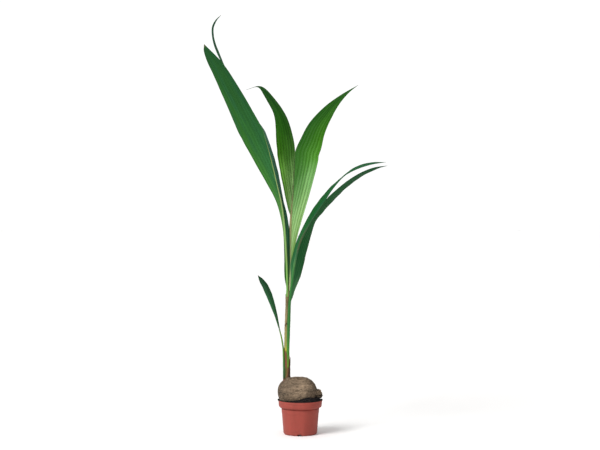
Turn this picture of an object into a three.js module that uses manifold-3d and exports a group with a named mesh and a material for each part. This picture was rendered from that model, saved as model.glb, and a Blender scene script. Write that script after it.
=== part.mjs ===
// Young coconut palm, sprouted from its nut, in a round plastic nursery pot.
// Millimetres, +Z up. The origin is the centre of the pot's flat underside, -Y faces the viewer,
// and +X points to the viewer's right. The rows of points along the stem and the leaves are places
// on this one plant: the leaf names say where each leaf goes as seen from the front.
import * as THREE from "three";
import { mergeVertices } from "three/addons/utils/BufferGeometryUtils.js";
import Module from "manifold-3d";

const wasm = await Module();
wasm.setup();

// Clearances between neighbouring solids
const GAP = 0.3;
const BLADE_GAP = 0.7;
const SOIL_GAP = 0.45;

// Pot: a thin moulded shell with a stepped rim, standing on a ring foot
const POT_HEIGHT = 147;
const RIM_RADIUS = 95;
const RIM_DEPTH = 30;
const WALL = 2;
const SHOULDER_RADIUS = 82;
const BASE_RADIUS = 73.6;
const FOOT_RADIUS = 67;
const FOOT_INNER_RADIUS = 57;
const BOSS_RADIUS = 10;
const FLOOR_UNDERSIDE = 8;
const POT_SIDES = 44;
const CORNER_STEPS = 4;
const CORNER_STRETCH = 1.5;
const NOTCH_COUNT = 4;
const NOTCH_ANGLE = THREE.MathUtils.degToRad(-92.5);
const NOTCH = { width: 21, top: 14, height: 8, below: 1, beyond: 4 };
const DRAIN = { count: 6, radius: 4, ring: 38, sides: 10 };

// Potting soil: fills the pot and mounds up a little round the nut. The rows of its top hold the
// radius and the height above its edge.
const SOIL_EDGE = 143;
const SOIL_TOP = [[0, 13], [40, 12], [62, 9], [80, 4]];
const SOIL_HEAP = { x: 82, y: 0, height: 12, spread: 24 };

// Nut: an egg-like body in its husk, lying on its side with its frayed end to the right
const NUT = { x: -12, y: 0, z: 186, halfLength: 85, radius: 63, ridge: 0.03, ridgeTurn: 0.35 };
const NUT_POWER = 2.63;
const NUT_RINGS = 22;
const NUT_SIDES = 28;
const NUT_END_SHARE = 0.04;

// Frayed fibres at the nut's stalk end: rows of x, y, z and radius
const TUFT = [
  [48, -4, 178, 25],
  [66, -5, 176, 22],
  [79, -5, 172, 18],
  [89, -4, 170, 12],
  [96, -3, 169, 5],
];
const TUFT_STATIONS = 8;
const TUFT_SIDES = 10;

// Column of leaf sheaths that grows out of the nut: rows of x, y, z and radius
const STEM = [
  [-59, 0, 212, 11],
  [-59, 0, 240, 14.2],
  [-58.4, 0, 262, 13],
  [-57.5, 0, 322, 12],
  [-58.5, 1, 372, 10.4],
  [-58.5, 2, 430, 9.1],
  [-57, 2, 500, 8.8],
  [-55, 2, 570, 8.5],
  [-53.5, 3, 622, 8.2],
];
const STEM_STATIONS = 16;
const STEM_SIDES = 16;

// Dark scale leaf that hugs the right side of the column's foot: rows of height, start and end
// of its arc round the column in degrees, and thickness
const SCALE_LEAF = [
  [236, -62, 78, 1.9],
  [272, -56, 70, 1.8],
  [310, -38, 52, 1.6],
  [344, -8, 22, 1.2],
];
const SCALE_LEAF_CLEARANCE = 0.65;
const SCALE_LEAF_STATIONS = 12;
const SCALE_LEAF_SIDES = 7;

// Leaf stalks with their midribs, foot first: rows of x, y, z and radius
const SMALL_STALK = [
  [-71.8, -10.2, 242, 2.3],
  [-71.3, -9.2, 290, 2.6],
  [-71.6, -8.4, 330, 2.8],
  [-73.1, -6.4, 374, 2.8],
  [-81, -13, 423, 2.4],
  [-91, -20, 464, 1.9],
];
const RIGHT_STALK = [
  [-53.5, -16.9, 292, 3.6],
  [-52.3, -15.5, 340, 5.2],
  [-52, -14.1, 388, 5.6],
  [-51.5, -13.3, 440, 5.8],
  [-50.2, -12.5, 496, 5.8],
  [-46.6, -11.3, 570, 5.6],
  [-40.5, -12.5, 624, 5.4],
  [-34.5, -17.5, 668, 5.2],
  [-25, -27, 740, 4.8],
  [-3, -46, 829, 4.2],
  [31, -74, 900, 3.4],
  [70, -106, 962, 2.4],
  [108, -140, 1016, 1.4],
];
const LEFT_STALK = [
  [-57.5, -1.5, 622.7, 4.9],
  [-60, -1, 704, 4.7],
  [-64, 2, 809, 4.5],
  [-70, 4, 913, 4.2],
  [-82, 5, 1001, 3.8],
  [-102, 4, 1088, 3.2],
  [-129, 0, 1201, 2.4],
  [-163, -8, 1322, 1.4],
];
const CENTRE_STALK = [
  [-49, 7.2, 622.1, 4.4],
  [-46.5, 9, 713, 4.3],
  [-42, 14, 822, 4.2],
  [-38, 22, 931, 3.8],
  [-31, 42, 1076, 3],
  [-23, 68, 1231, 1.4],
];

// Free inner margins of the two lobes of each leaf, from the cleft to the tip
const LEFT_FRONT_LOBE = [[-212, -14, 1408], [-270, -22, 1505], [-339, -30, 1608], [-417, -34, 1692]];
const LEFT_BACK_LOBE = [
  [-219, 22, 1403],
  [-284, 44, 1510],
  [-338, 56, 1608],
  [-373, 60, 1697],
  [-385, 56, 1767],
  [-373, 50, 1805],
  [-348, 44, 1831],
];
const CENTRE_LEFT_LOBE = [
  [-34, 82, 1300],
  [-61, 104, 1390],
  [-113, 128, 1470],
  [-173, 146, 1521],
  [-243, 160, 1518],
];
const CENTRE_RIGHT_LOBE = [
  [1, 80, 1293],
  [39, 96, 1365],
  [105, 116, 1434],
  [182, 134, 1486],
  [259, 150, 1535],
];
const RIGHT_UPPER_LOBE = [
  [138, -170, 1061],
  [181, -206, 1114],
  [232, -240, 1144],
  [289, -270, 1165],
  [353, -298, 1169],
];
const RIGHT_LOWER_LOBE = [
  [150, -178, 1056],
  [200, -216, 1096],
  [252, -252, 1127],
  [304, -284, 1149],
  [358, -312, 1155],
];

// Half blades: rows of the place along the path from 0 to 1, the width from the midrib's centre
// line, and the angle in degrees by which the blade turns back from facing the viewer
const LEFT_FRONT_WIDTHS = [
  [0, 10, 0], [0.18, 7.5, 0], [0.3, 12.5, 0], [0.36, 21, -2], [0.42, 45, -3], [0.5, 69, -4],
  [0.62, 95, -6], [0.68, 90, -8], [0.85, 66, -8], [0.93, 44, -8], [0.98, 18, -8], [1, 1.5, -8],
];
const LEFT_BACK_WIDTHS = [
  [0, 9, 8], [0.2, 18, 15], [0.25, 17, 30], [0.3, 23, 64], [0.4, 57, 74], [0.5, 80, 82],
  [0.58, 92, 90], [0.75, 72, 90], [0.87, 42, 79], [0.95, 22, 77], [1, 1, 70],
];
const CENTRE_LEFT_WIDTHS = [
  [0, 5.5, -35], [0.31, 7, -35], [0.35, 21, -35], [0.4, 44, -35], [0.5, 76.5, -35], [0.6, 97, -35],
  [0.7, 76.5, -31], [0.8, 47.6, -27], [0.87, 34, -25], [0.91, 24, -24], [0.95, 4, -22], [1, 1, -20],
];
const CENTRE_RIGHT_WIDTHS = [
  [0, 5.5, -8], [0.1, 6.3, -8], [0.15, 9, -8], [0.2, 18, -8], [0.3, 39.5, -8], [0.45, 72, -8],
  [0.55, 95, -8], [0.62, 101, -8], [0.7, 88, -8], [0.8, 57.5, -8], [0.9, 18.5, -8], [0.95, 6.5, -8],
  [1, 1, -8],
];
const RIGHT_UPPER_WIDTHS = [
  [0, 6, 20], [0.1, 11, 36], [0.2, 26, 44], [0.3, 33, 60], [0.36, 36, 66], [0.45, 41, 62.5], [0.55, 42, 61.5],
  [0.63, 40, 69], [0.7, 35, 77], [0.76, 30, 83], [0.85, 21, 77], [0.93, 11, 76], [1, 1, 72],
];
const RIGHT_LOWER_WIDTHS = [
  [0, 6.5, 20], [0.06, 19, 33], [0.15, 41, 40], [0.22, 51, 45], [0.3, 54, 51], [0.36, 53, 61], [0.43, 51, 73],
  [0.5, 50, 70], [0.6, 48, 60], [0.7, 40, 61], [0.8, 33, 60], [0.9, 21, 60], [0.95, 10, 60], [1, 1, 60],
];
const SMALL_BLADE_PATH = [
  [-91, -20, 464],
  [-104, -27, 512],
  [-121, -37, 563],
  [-135, -48, 605],
  [-151, -58, 639],
  [-168, -69, 664],
  [-179, -78, 684],
];
const SMALL_BLADE_WIDTHS = [
  [0, 4, 40], [0.21, 5.2, 40], [0.43, 11.5, 40], [0.62, 14.5, 40], [0.78, 13.6, 40], [0.9, 9, 40], [1, 1, 40],
];

// Where along each lobed path the blade begins to stand out of the midrib
const BLADE_START = {
  leftFront: 0.006,
  leftBack: 0.006,
  centreLeft: 0.31,
  centreRight: 0.12,
  rightUpper: 0.07,
  rightLower: 0.004,
};
const RIGHT_LEAF_FOOT = 5;

// Blades are thin lens sections: thickness as a share of width, up to a limit
const BLADE_THICKNESS = 10;
const THICKNESS_SHARE = 0.24;
const SMALL_BLADE = { thickness: 4, thicknessShare: 0.35, edgeShare: 0.4 };
const BLADE_SECTION = [[0, 0.2], [0.3, 1], [0.7, 0.9], [1, 0.16]];
const BLADE_WEDGE = 0.45;
const NARROWEST_SPAN = 1.2;
const BLADE_STATIONS = 30;
const STALK_STATIONS = 30;
const STALK_SIDES = 8;
const PATH_STEPS = 80;
const MERGE_DISTANCE = 1e-3;

const COLOURS = {
  pot: "#b5523f",
  soil: "#231f1c",
  husk: "#7b6857",
  tuft: "#5b4a3b",
  sheath: "#94805f",
  scale: "#3f2d1f",
  stalk: "#7aae50",
  rightBlade: "#255a37",
  leftBlade: "#38702f",
  centreBlade: "#4f8f38",
};

// Curves

// A smooth curve through rows of numbers, with u running from 0 at the first row to 1 at the last
function along(rows, u) {
  const last = rows.length - 1;
  const x = THREE.MathUtils.clamp(u, 0, 1) * last;
  const i = Math.min(Math.floor(x), last - 1);
  const f = x - i;
  return rows[i].map((start, k) => {
    const end = rows[i + 1][k];
    const before = i > 0 ? rows[i - 1][k] : 2 * start - end;
    const after = i + 2 <= last ? rows[i + 2][k] : 2 * end - start;
    const startSlope = (end - before) / 2;
    const endSlope = (after - start) / 2;
    return (
      (2 * f ** 3 - 3 * f ** 2 + 1) * start +
      (f ** 3 - 2 * f ** 2 + f) * startSlope +
      (3 * f ** 2 - 2 * f ** 3) * end +
      (f ** 3 - f ** 2) * endSlope
    );
  });
}

function distance(a, b) {
  return Math.hypot(a[0] - b[0], a[1] - b[1], a[2] - b[2]);
}

// The numbers of rows that each start with their own place t, smoothly in between
function profile(rows, t) {
  const next = rows.findIndex((row) => row[0] >= t);
  const i = THREE.MathUtils.clamp(next - 1, 0, rows.length - 2);
  const [start, end] = [rows[i], rows[i + 1]];
  const before = rows[Math.max(i - 1, 0)];
  const after = rows[Math.min(i + 2, rows.length - 1)];
  const step = end[0] - start[0];
  const f = (t - start[0]) / step;
  return start.slice(1).map((value, n) => {
    const k = n + 1;
    const startSlope = (step * (end[k] - before[k])) / (end[0] - before[0]);
    const endSlope = (step * (after[k] - value)) / (after[0] - start[0]);
    return (
      (2 * f ** 3 - 3 * f ** 2 + 1) * value +
      (f ** 3 - 2 * f ** 2 + f) * startSlope +
      (3 * f ** 2 - 2 * f ** 3) * end[k] +
      (f ** 3 - f ** 2) * endSlope
    );
  });
}

// The same curve as points an even distance apart, each holding the rows' further numbers too
function evenRows(rows, count) {
  const lengths = [0];
  for (let i = 1; i < rows.length; i++) {
    lengths.push(lengths[i - 1] + distance(rows[i], rows[i - 1]));
  }
  const total = lengths.at(-1);
  const result = [];
  let i = 1;
  for (let n = 0; n <= count; n++) {
    const want = (total * n) / count;
    while (i < rows.length - 1 && lengths[i] < want) i += 1;
    const f = (want - lengths[i - 1]) / (lengths[i] - lengths[i - 1]);
    result.push(rows[i].map((value, k) => rows[i - 1][k] + f * (value - rows[i - 1][k])));
  }
  return result;
}

function sampled(rows, from = 0) {
  const points = [];
  for (let i = 0; i <= PATH_STEPS; i++) {
    points.push(along(rows, from + ((1 - from) * i) / PATH_STEPS));
  }
  return points;
}

// The line that a half blade grows from: its midrib up to the cleft, then its own inner margin
function lobePath(stalk, lobe) {
  const rib = sampled(stalk);
  const [below, cleft] = rib.slice(-2);
  const first = [...lobe[0], 0];
  const stretch = distance(first, cleft) / distance(below, cleft);
  const lead = cleft.map((value, k) => value + (below[k] - value) * stretch);
  const free = [lead, cleft, ...lobe.map((point) => [...point, 0])];
  const margin = sampled(free, 1 / (free.length - 1));
  return [...rib, ...margin.slice(1)];
}

// At each station of a path: its point, its direction, and the way across it towards the
// viewer's left and towards the back
function frames(points) {
  return points.map((row, i) => {
    const before = points[Math.max(i - 1, 0)];
    const after = points[Math.min(i + 1, points.length - 1)];
    const point = new THREE.Vector3(row[0], row[1], row[2]);
    const ahead = new THREE.Vector3(after[0] - before[0], after[1] - before[1], after[2] - before[2]);
    ahead.normalize();
    const depth = new THREE.Vector3(0, 1, 0);
    const left = new THREE.Vector3().crossVectors(ahead, depth).normalize();
    const back = depth.addScaledVector(ahead, -ahead.y).normalize();
    return { point, ahead, left, back, radius: row[3] };
  });
}

// Solids

// A closed solid through rings of points, each ring running the same way round
function loft(rings) {
  const sides = rings[0].length;
  const positions = [];
  for (const ring of rings) ring.forEach((p) => positions.push(p.x, p.y, p.z));
  const index = [];
  for (let i = 0; i < rings.length - 1; i++) {
    for (let j = 0; j < sides; j++) {
      const a = i * sides + j;
      const b = i * sides + ((j + 1) % sides);
      index.push(a, b, b + sides, a, b + sides, a + sides);
    }
  }
  for (const [at, flipped] of [[0, true], [rings.length - 1, false]]) {
    const middle = new THREE.Vector3();
    rings[at].forEach((p) => middle.addScaledVector(p, 1 / sides));
    const hub = positions.length / 3;
    positions.push(middle.x, middle.y, middle.z);
    for (let j = 0; j < sides; j++) {
      const a = at * sides + j;
      const b = at * sides + ((j + 1) % sides);
      if (flipped) index.push(hub, b, a);
      else index.push(hub, a, b);
    }
  }
  const geometry = new THREE.BufferGeometry();
  geometry.setAttribute("position", new THREE.Float32BufferAttribute(positions, 3));
  geometry.setIndex(index);
  return outward(geometry);
}

// Turns a closed geometry's faces outwards where they point in
function outward(geometry) {
  const p = geometry.getAttribute("position");
  const index = geometry.getIndex();
  const [a, b, c] = [new THREE.Vector3(), new THREE.Vector3(), new THREE.Vector3()];
  let volume = 0;
  for (let i = 0; i < index.count; i += 3) {
    a.fromBufferAttribute(p, index.getX(i));
    b.fromBufferAttribute(p, index.getX(i + 1));
    c.fromBufferAttribute(p, index.getX(i + 2));
    volume += a.dot(b.cross(c));
  }
  if (volume < 0) {
    for (let i = 0; i < index.count; i += 3) {
      const second = index.getX(i + 1);
      index.setX(i + 1, index.getX(i + 2));
      index.setX(i + 2, second);
    }
  }
  return geometry;
}

function toManifold(geometry) {
  const bare = geometry.clone();
  bare.deleteAttribute("normal");
  bare.deleteAttribute("uv");
  const merged = mergeVertices(bare, MERGE_DISTANCE);
  const mesh = new wasm.Mesh({
    numProp: 3,
    vertProperties: new Float32Array(merged.getAttribute("position").array),
    triVerts: new Uint32Array(merged.getIndex().array),
  });
  return new wasm.Manifold(mesh);
}

function fromManifold(solid) {
  const mesh = solid.getMesh();
  const geometry = new THREE.BufferGeometry();
  geometry.setAttribute("position", new THREE.BufferAttribute(mesh.vertProperties, 3));
  geometry.setIndex(new THREE.BufferAttribute(mesh.triVerts, 1));
  return geometry;
}

function cut(geometry, ...tools) {
  return fromManifold(tools.reduce((solid, tool) => solid.subtract(toManifold(tool)), toManifold(geometry)));
}

// A round limb through rows of x, y, z and radius, made thicker by grow and longer by reach
function limb(rows, stations, sides, grow = 0, reach = 0) {
  const line = frames(evenRows(sampled(rows), stations));
  line[0].point.addScaledVector(line[0].ahead, -reach);
  line.at(-1).point.addScaledVector(line.at(-1).ahead, reach);
  return loft(
    line.map(({ point, left, back, radius }) => {
      const ring = [];
      for (let j = 0; j < sides; j++) {
        const angle = (2 * Math.PI * j) / sides;
        const r = radius + grow;
        const across = left.clone().multiplyScalar(-r * Math.cos(angle));
        ring.push(point.clone().add(across).addScaledVector(back, r * Math.sin(angle)));
      }
      return ring;
    })
  );
}

// Pot, soil and nut

function potOutline() {
  const lip = RIM_RADIUS;
  const band = POT_HEIGHT - RIM_DEPTH;
  const corner = BASE_RADIUS - FOOT_RADIUS;
  const outline = [[FOOT_INNER_RADIUS, 0]];
  for (let i = 0; i <= CORNER_STEPS; i++) {
    const angle = (Math.PI / 2) * (i / CORNER_STEPS);
    const height = CORNER_STRETCH * corner * (1 - Math.cos(angle));
    outline.push([FOOT_RADIUS + corner * Math.sin(angle), height]);
  }
  outline.push(
    [SHOULDER_RADIUS - 1.8, band - 25],
    [SHOULDER_RADIUS - 0.9, band - 24],
    [SHOULDER_RADIUS, band - 4],
    [SHOULDER_RADIUS + 1.6, band - 1.6],
    [lip - 5.2, band],
    [lip - 2.4, band + 4],
    [lip - 1, band + 10],
    [lip - 0.6, band + 17],
    [lip - 1.1, band + 18.8],
    [lip, band + 20.6],
    [lip, POT_HEIGHT - 0.8],
    [lip - 0.8, POT_HEIGHT]
  );
  return outline;
}

// Inner face of the pot, rim first, a wall's thickness inside the outer one
function potLining(clearance = 0) {
  const band = POT_HEIGHT - RIM_DEPTH;
  const inset = WALL + clearance;
  const floor = FLOOR_UNDERSIDE + WALL + clearance;
  return [
    [RIM_RADIUS - inset, POT_HEIGHT],
    [RIM_RADIUS - inset - 0.6, band + 16],
    [RIM_RADIUS - inset - 3, band + 6],
    [SHOULDER_RADIUS - inset, band - 2],
    [SHOULDER_RADIUS - inset - 1.8, band - 25],
    [BASE_RADIUS - inset + 0.2, floor],
  ];
}

function lathe(outline, sides = POT_SIDES) {
  const points = outline.map(([r, z]) => new THREE.Vector2(r, z));
  const geometry = new THREE.LatheGeometry(points, sides);
  geometry.rotateX(Math.PI / 2);
  geometry.deleteAttribute("normal");
  geometry.deleteAttribute("uv");
  return outward(mergeVertices(geometry, MERGE_DISTANCE));
}

function turned(geometry, angle, radius) {
  geometry.translate(radius, 0, 0);
  geometry.rotateZ(angle);
  return geometry;
}

// One drainage notch: a wedge with slanting sides, cut through the ring foot
function notchCutter(angle) {
  const depth = BASE_RADIUS - FOOT_INNER_RADIUS + 2 * NOTCH.beyond;
  const outline = new THREE.Shape([
    new THREE.Vector2(-NOTCH.width / 2, -NOTCH.below),
    new THREE.Vector2(NOTCH.width / 2, -NOTCH.below),
    new THREE.Vector2(NOTCH.top / 2, NOTCH.height),
    new THREE.Vector2(-NOTCH.top / 2, NOTCH.height),
  ]);
  const geometry = new THREE.ExtrudeGeometry(outline, { depth, bevelEnabled: false });
  geometry.rotateX(Math.PI / 2);
  geometry.rotateZ(Math.PI / 2);
  return turned(geometry, angle, FOOT_INNER_RADIUS - NOTCH.beyond);
}

function drainCutter(angle) {
  const length = 2 * FLOOR_UNDERSIDE;
  const geometry = new THREE.CylinderGeometry(DRAIN.radius, DRAIN.radius, length, DRAIN.sides);
  geometry.rotateX(Math.PI / 2);
  geometry.translate(0, 0, FLOOR_UNDERSIDE + WALL);
  return turned(geometry, angle, DRAIN.ring);
}

function potGeometry() {
  const underside = [
    [0, 0],
    [BOSS_RADIUS, 0],
    [BOSS_RADIUS + 1, FLOOR_UNDERSIDE],
    [FOOT_INNER_RADIUS - 1, FLOOR_UNDERSIDE],
  ];
  const floor = [[0, FLOOR_UNDERSIDE + WALL]];
  const shell = lathe([...underside, ...potOutline(), ...potLining(), ...floor]);
  const cutters = [];
  for (let i = 0; i < NOTCH_COUNT; i++) {
    const angle = NOTCH_ANGLE + (i * 2 * Math.PI) / NOTCH_COUNT;
    cutters.push(notchCutter(angle));
  }
  for (let i = 0; i < DRAIN.count; i++) {
    const angle = NOTCH_ANGLE + ((i + 0.5) * 2 * Math.PI) / DRAIN.count;
    cutters.push(drainCutter(angle));
  }
  return cut(shell, ...cutters);
}

function nutGeometry(grow = 0) {
  const rings = [];
  for (let i = 0; i <= NUT_RINGS; i++) {
    const share = NUT_END_SHARE + (1 - 2 * NUT_END_SHARE) * (i / NUT_RINGS);
    const u = -Math.cos(Math.PI * share);
    const round = Math.sqrt(1 - Math.abs(u) ** NUT_POWER);
    const ring = [];
    for (let j = 0; j < NUT_SIDES; j++) {
      const angle = (2 * Math.PI * j) / NUT_SIDES;
      const ridges = 1 + NUT.ridge * Math.cos(3 * (angle - Math.PI / 2 - NUT.ridgeTurn));
      const r = NUT.radius * round * ridges + grow;
      const x = NUT.x + u * (NUT.halfLength + grow);
      ring.push(new THREE.Vector3(x, NUT.y + r * Math.cos(angle), NUT.z + r * Math.sin(angle)));
    }
    rings.push(ring);
  }
  return loft(rings);
}

function tuftGeometry(grow = 0) {
  return limb(TUFT, TUFT_STATIONS, TUFT_SIDES, grow, grow);
}

function soilGeometry() {
  const [rimRow, ...lining] = potLining(SOIL_GAP);
  const top = SOIL_TOP.map(([radius, height]) => [radius, SOIL_EDGE + height]);
  top.push([rimRow[0] - GAP, SOIL_EDGE]);
  const floor = [0, lining.at(-1)[1]];
  const geometry = lathe([floor, ...lining.reverse(), ...top.reverse()]);
  const p = geometry.getAttribute("position");
  for (let i = 0; i < p.count; i++) {
    if (p.getZ(i) < SOIL_EDGE + 1) continue;
    const away = Math.hypot(p.getX(i) - SOIL_HEAP.x, p.getY(i) - SOIL_HEAP.y);
    p.setZ(i, p.getZ(i) + SOIL_HEAP.height * Math.exp(-((away / SOIL_HEAP.spread) ** 2)));
  }
  return geometry;
}

// Stem pieces

function stemSection(z) {
  const points = sampled(STEM);
  return points.reduce((best, row) => (Math.abs(row[2] - z) < Math.abs(best[2] - z) ? row : best));
}

function scaleLeafGeometry() {
  const steps = SCALE_LEAF_SIDES;
  const rings = [];
  for (let i = 0; i <= SCALE_LEAF_STATIONS; i++) {
    const [z, start, end, thickness] = along(SCALE_LEAF, i / SCALE_LEAF_STATIONS);
    const [x, y, , radius] = stemSection(z);
    const ring = [];
    const inside = radius + SCALE_LEAF_CLEARANCE;
    for (const [r, backwards] of [[inside, false], [inside + thickness, true]]) {
      for (let j = 0; j <= steps; j++) {
        const f = backwards ? 1 - j / steps : j / steps;
        const angle = THREE.MathUtils.degToRad(start + (end - start) * f);
        ring.push(new THREE.Vector3(x + r * Math.cos(angle), y + r * Math.sin(angle), z));
      }
    }
    rings.push(ring);
  }
  return loft(rings);
}

// Leaf blades

// One half of a blade: path is the line it grows from, side is 1 to the viewer's left of that
// line and -1 to its right, and start is the share of the path below the blade
function halfBlade(path, widths, side, start) {
  const line = frames(evenRows(path, PATH_STEPS * 2));
  const rings = [];
  for (let i = 0; i <= BLADE_STATIONS; i++) {
    const t = start + (1 - start) * (i / BLADE_STATIONS);
    const { point, ahead, left, back, radius } = line[Math.round(t * (line.length - 1))];
    const [width, turn] = profile(widths, t);
    const angle = THREE.MathUtils.degToRad(turn);
    const across = left.clone().multiplyScalar(side * Math.cos(angle));
    across.addScaledVector(back, Math.sin(angle)).normalize();
    const normal = new THREE.Vector3().crossVectors(ahead, across).normalize();
    const inner = Math.max(radius, 0) + BLADE_GAP;
    const span = Math.max(width - inner, NARROWEST_SPAN);
    const half = Math.min(BLADE_THICKNESS, THICKNESS_SHARE * span) / 2;
    const section = BLADE_SECTION.map(([q, share]) => {
      const reach = inner + q * span;
      return [reach, Math.min(half * share, BLADE_WEDGE * reach)];
    });
    const front = section.map(([reach, lift]) => bladePoint(point, across, reach, normal, lift));
    const rear = section.map(([reach, lift]) => bladePoint(point, across, reach, normal, -lift));
    rings.push([...front, ...rear.reverse()]);
  }
  return loft(rings);
}

function bladePoint(point, across, distance, normal, lift) {
  return point.clone().addScaledVector(across, distance).addScaledVector(normal, lift);
}

// The small leaf's blade: both narrow halves in one, folded back from its midrib
function smallBladeGeometry() {
  const line = frames(evenRows(sampled(SMALL_BLADE_PATH), BLADE_STATIONS));
  const half = SMALL_BLADE.thickness / 2;
  const rings = line.map(({ point, ahead, left, back }, i) => {
    const [width, turn] = profile(SMALL_BLADE_WIDTHS, i / BLADE_STATIONS);
    const angle = THREE.MathUtils.degToRad(turn);
    const centre = i === 0 ? point.clone().addScaledVector(ahead, GAP) : point;
    const [leftMargin, rightMargin] = [1, -1].map((side) => {
      const out = left.clone().multiplyScalar(side * width * Math.cos(angle));
      return out.addScaledVector(back, width * Math.sin(angle)).add(centre);
    });
    const lift = back.clone().multiplyScalar(Math.min(half, SMALL_BLADE.thicknessShare * width));
    const edgeLift = lift.clone().multiplyScalar(SMALL_BLADE.edgeShare);
    return [
      centre.clone().sub(lift),
      leftMargin.clone().sub(edgeLift),
      leftMargin.clone().add(edgeLift),
      centre.clone().add(lift),
      rightMargin.clone().add(edgeLift),
      rightMargin.clone().sub(edgeLift),
    ];
  });
  return loft(rings);
}

// The plant

const plant = new THREE.Group();

function addPiece(name, geometry, colour, roughness) {
  const material = new THREE.MeshStandardMaterial({ color: colour, roughness, metalness: 0 });
  const mesh = new THREE.Mesh(geometry, material);
  mesh.name = name;
  plant.add(mesh);
}

function addStalk(name, rows) {
  addPiece(name, limb(rows, STALK_STATIONS, STALK_SIDES), COLOURS.stalk, 0.5);
}

function addHalf(name, stalk, lobe, widths, side, start, colour) {
  addPiece(name, halfBlade(lobePath(stalk, lobe), widths, side, start), colour, 0.45);
}

const stemGrown = limb(STEM, STEM_STATIONS, STEM_SIDES, GAP, GAP);
addPiece("pot", potGeometry(), COLOURS.pot, 0.55);
addPiece("potting_soil", cut(soilGeometry(), nutGeometry(GAP), tuftGeometry(GAP)), COLOURS.soil, 1);
addPiece("coconut_husk", cut(nutGeometry(), stemGrown), COLOURS.husk, 0.95);
addPiece("husk_tuft", cut(tuftGeometry(), nutGeometry(GAP)), COLOURS.tuft, 1);
addPiece("stem", limb(STEM, STEM_STATIONS, STEM_SIDES), COLOURS.sheath, 0.7);
addPiece("base_scale_leaf", cut(scaleLeafGeometry(), nutGeometry(GAP)), COLOURS.scale, 0.85);

addStalk("small_leaf_stalk", SMALL_STALK);
addPiece("small_leaf_blade", smallBladeGeometry(), COLOURS.rightBlade, 0.45);

const rightRib = RIGHT_STALK.slice(RIGHT_LEAF_FOOT);
addStalk("right_leaf_stalk", RIGHT_STALK);
addHalf("right_leaf_upper_half", rightRib, RIGHT_UPPER_LOBE, RIGHT_UPPER_WIDTHS, 1,
  BLADE_START.rightUpper, COLOURS.rightBlade);
addHalf("right_leaf_lower_half", rightRib, RIGHT_LOWER_LOBE, RIGHT_LOWER_WIDTHS, -1,
  BLADE_START.rightLower, COLOURS.rightBlade);

addStalk("left_leaf_stalk", LEFT_STALK);
addHalf("left_leaf_front_half", LEFT_STALK, LEFT_FRONT_LOBE, LEFT_FRONT_WIDTHS, 1,
  BLADE_START.leftFront, COLOURS.leftBlade);
addHalf("left_leaf_back_half", LEFT_STALK, LEFT_BACK_LOBE, LEFT_BACK_WIDTHS, -1,
  BLADE_START.leftBack, COLOURS.leftBlade);

addStalk("centre_leaf_stalk", CENTRE_STALK);
addHalf("centre_leaf_left_half", CENTRE_STALK, CENTRE_LEFT_LOBE, CENTRE_LEFT_WIDTHS, 1,
  BLADE_START.centreLeft, COLOURS.centreBlade);
addHalf("centre_leaf_right_half", CENTRE_STALK, CENTRE_RIGHT_LOBE, CENTRE_RIGHT_WIDTHS, -1,
  BLADE_START.centreRight, COLOURS.centreBlade);

export default plant;
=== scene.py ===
"""Young coconut palm, sprouted from its nut, in a round plastic nursery pot.

The rows of points are in millimetres, with +Z up, -Y towards the viewer and +X to the viewer's
right. Leaves are named by where they go as seen from the front. The pieces are made in metres.
"""

import math
import random

import bpy
from mathutils import Matrix, Vector, noise


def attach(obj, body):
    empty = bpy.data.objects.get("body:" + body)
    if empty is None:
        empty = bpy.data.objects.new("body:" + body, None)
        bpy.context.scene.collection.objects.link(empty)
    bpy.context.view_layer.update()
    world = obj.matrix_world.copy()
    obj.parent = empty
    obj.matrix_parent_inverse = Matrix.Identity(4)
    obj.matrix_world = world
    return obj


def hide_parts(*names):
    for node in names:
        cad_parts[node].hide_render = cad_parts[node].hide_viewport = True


bl_info = {
    "name": "Potted young coconut palm",
    "version": (1, 0, 0),
    "blender": (4, 5, 0),
    "location": "3D View > Sidebar > Palm",
    "description": "Builds a young coconut palm with its nut, soil and nursery pot",
    "category": "Add Mesh",
}

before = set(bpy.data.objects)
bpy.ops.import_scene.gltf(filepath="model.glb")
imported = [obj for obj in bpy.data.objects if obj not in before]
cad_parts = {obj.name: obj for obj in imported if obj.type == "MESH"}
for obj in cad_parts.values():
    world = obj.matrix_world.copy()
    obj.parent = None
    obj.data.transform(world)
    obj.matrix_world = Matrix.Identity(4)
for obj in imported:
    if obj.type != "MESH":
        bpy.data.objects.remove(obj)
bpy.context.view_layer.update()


MM = 0.001
BACK = Vector((0, 1, 0))

# Pot: rows of radius, height and the rounding of the corner there, from the boss outwards and in
POT_SIDES = 96
POT_PROFILE = [
    (10, 0, 0.4), (11, 8, 1), (56, 8, 1), (57, 0, 0.5), (67, 0, 1), (70.4, 1.4, 3), (72.9, 5, 3),
    (73.8, 10, 3), (80.2, 92, 0.8), (81.1, 93, 0.8), (82, 110.8, 0.8), (79.6, 112.6, 0.6),
    (79.8, 116.6, 0.6), (89.8, 117.2, 1.2), (92.6, 121, 2.5), (94, 127, 4), (94.4, 134, 0.8),
    (93.7, 135.8, 0.5), (95, 137.6, 0.8), (95, 147, 0.9), (93, 147, 0.9), (92.4, 133, 3), (90, 123, 3),
    (78, 115.5, 2), (77, 92, 3), (71.8, 10, 2),
]
NOTCHES = 4
NOTCH_TURN = math.radians(-92.5)
NOTCH_WIDTH = 21
NOTCH_TOP = 14
NOTCH_HEIGHT = 8
FOOT_INSIDE = 53
FOOT_OUTSIDE = 82
DRAIN_RADIUS = 4
DRAIN_RING = 38
DRAIN_DEPTH = 20
DRAIN_LEVEL = 9
DRAINS = 6

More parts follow.
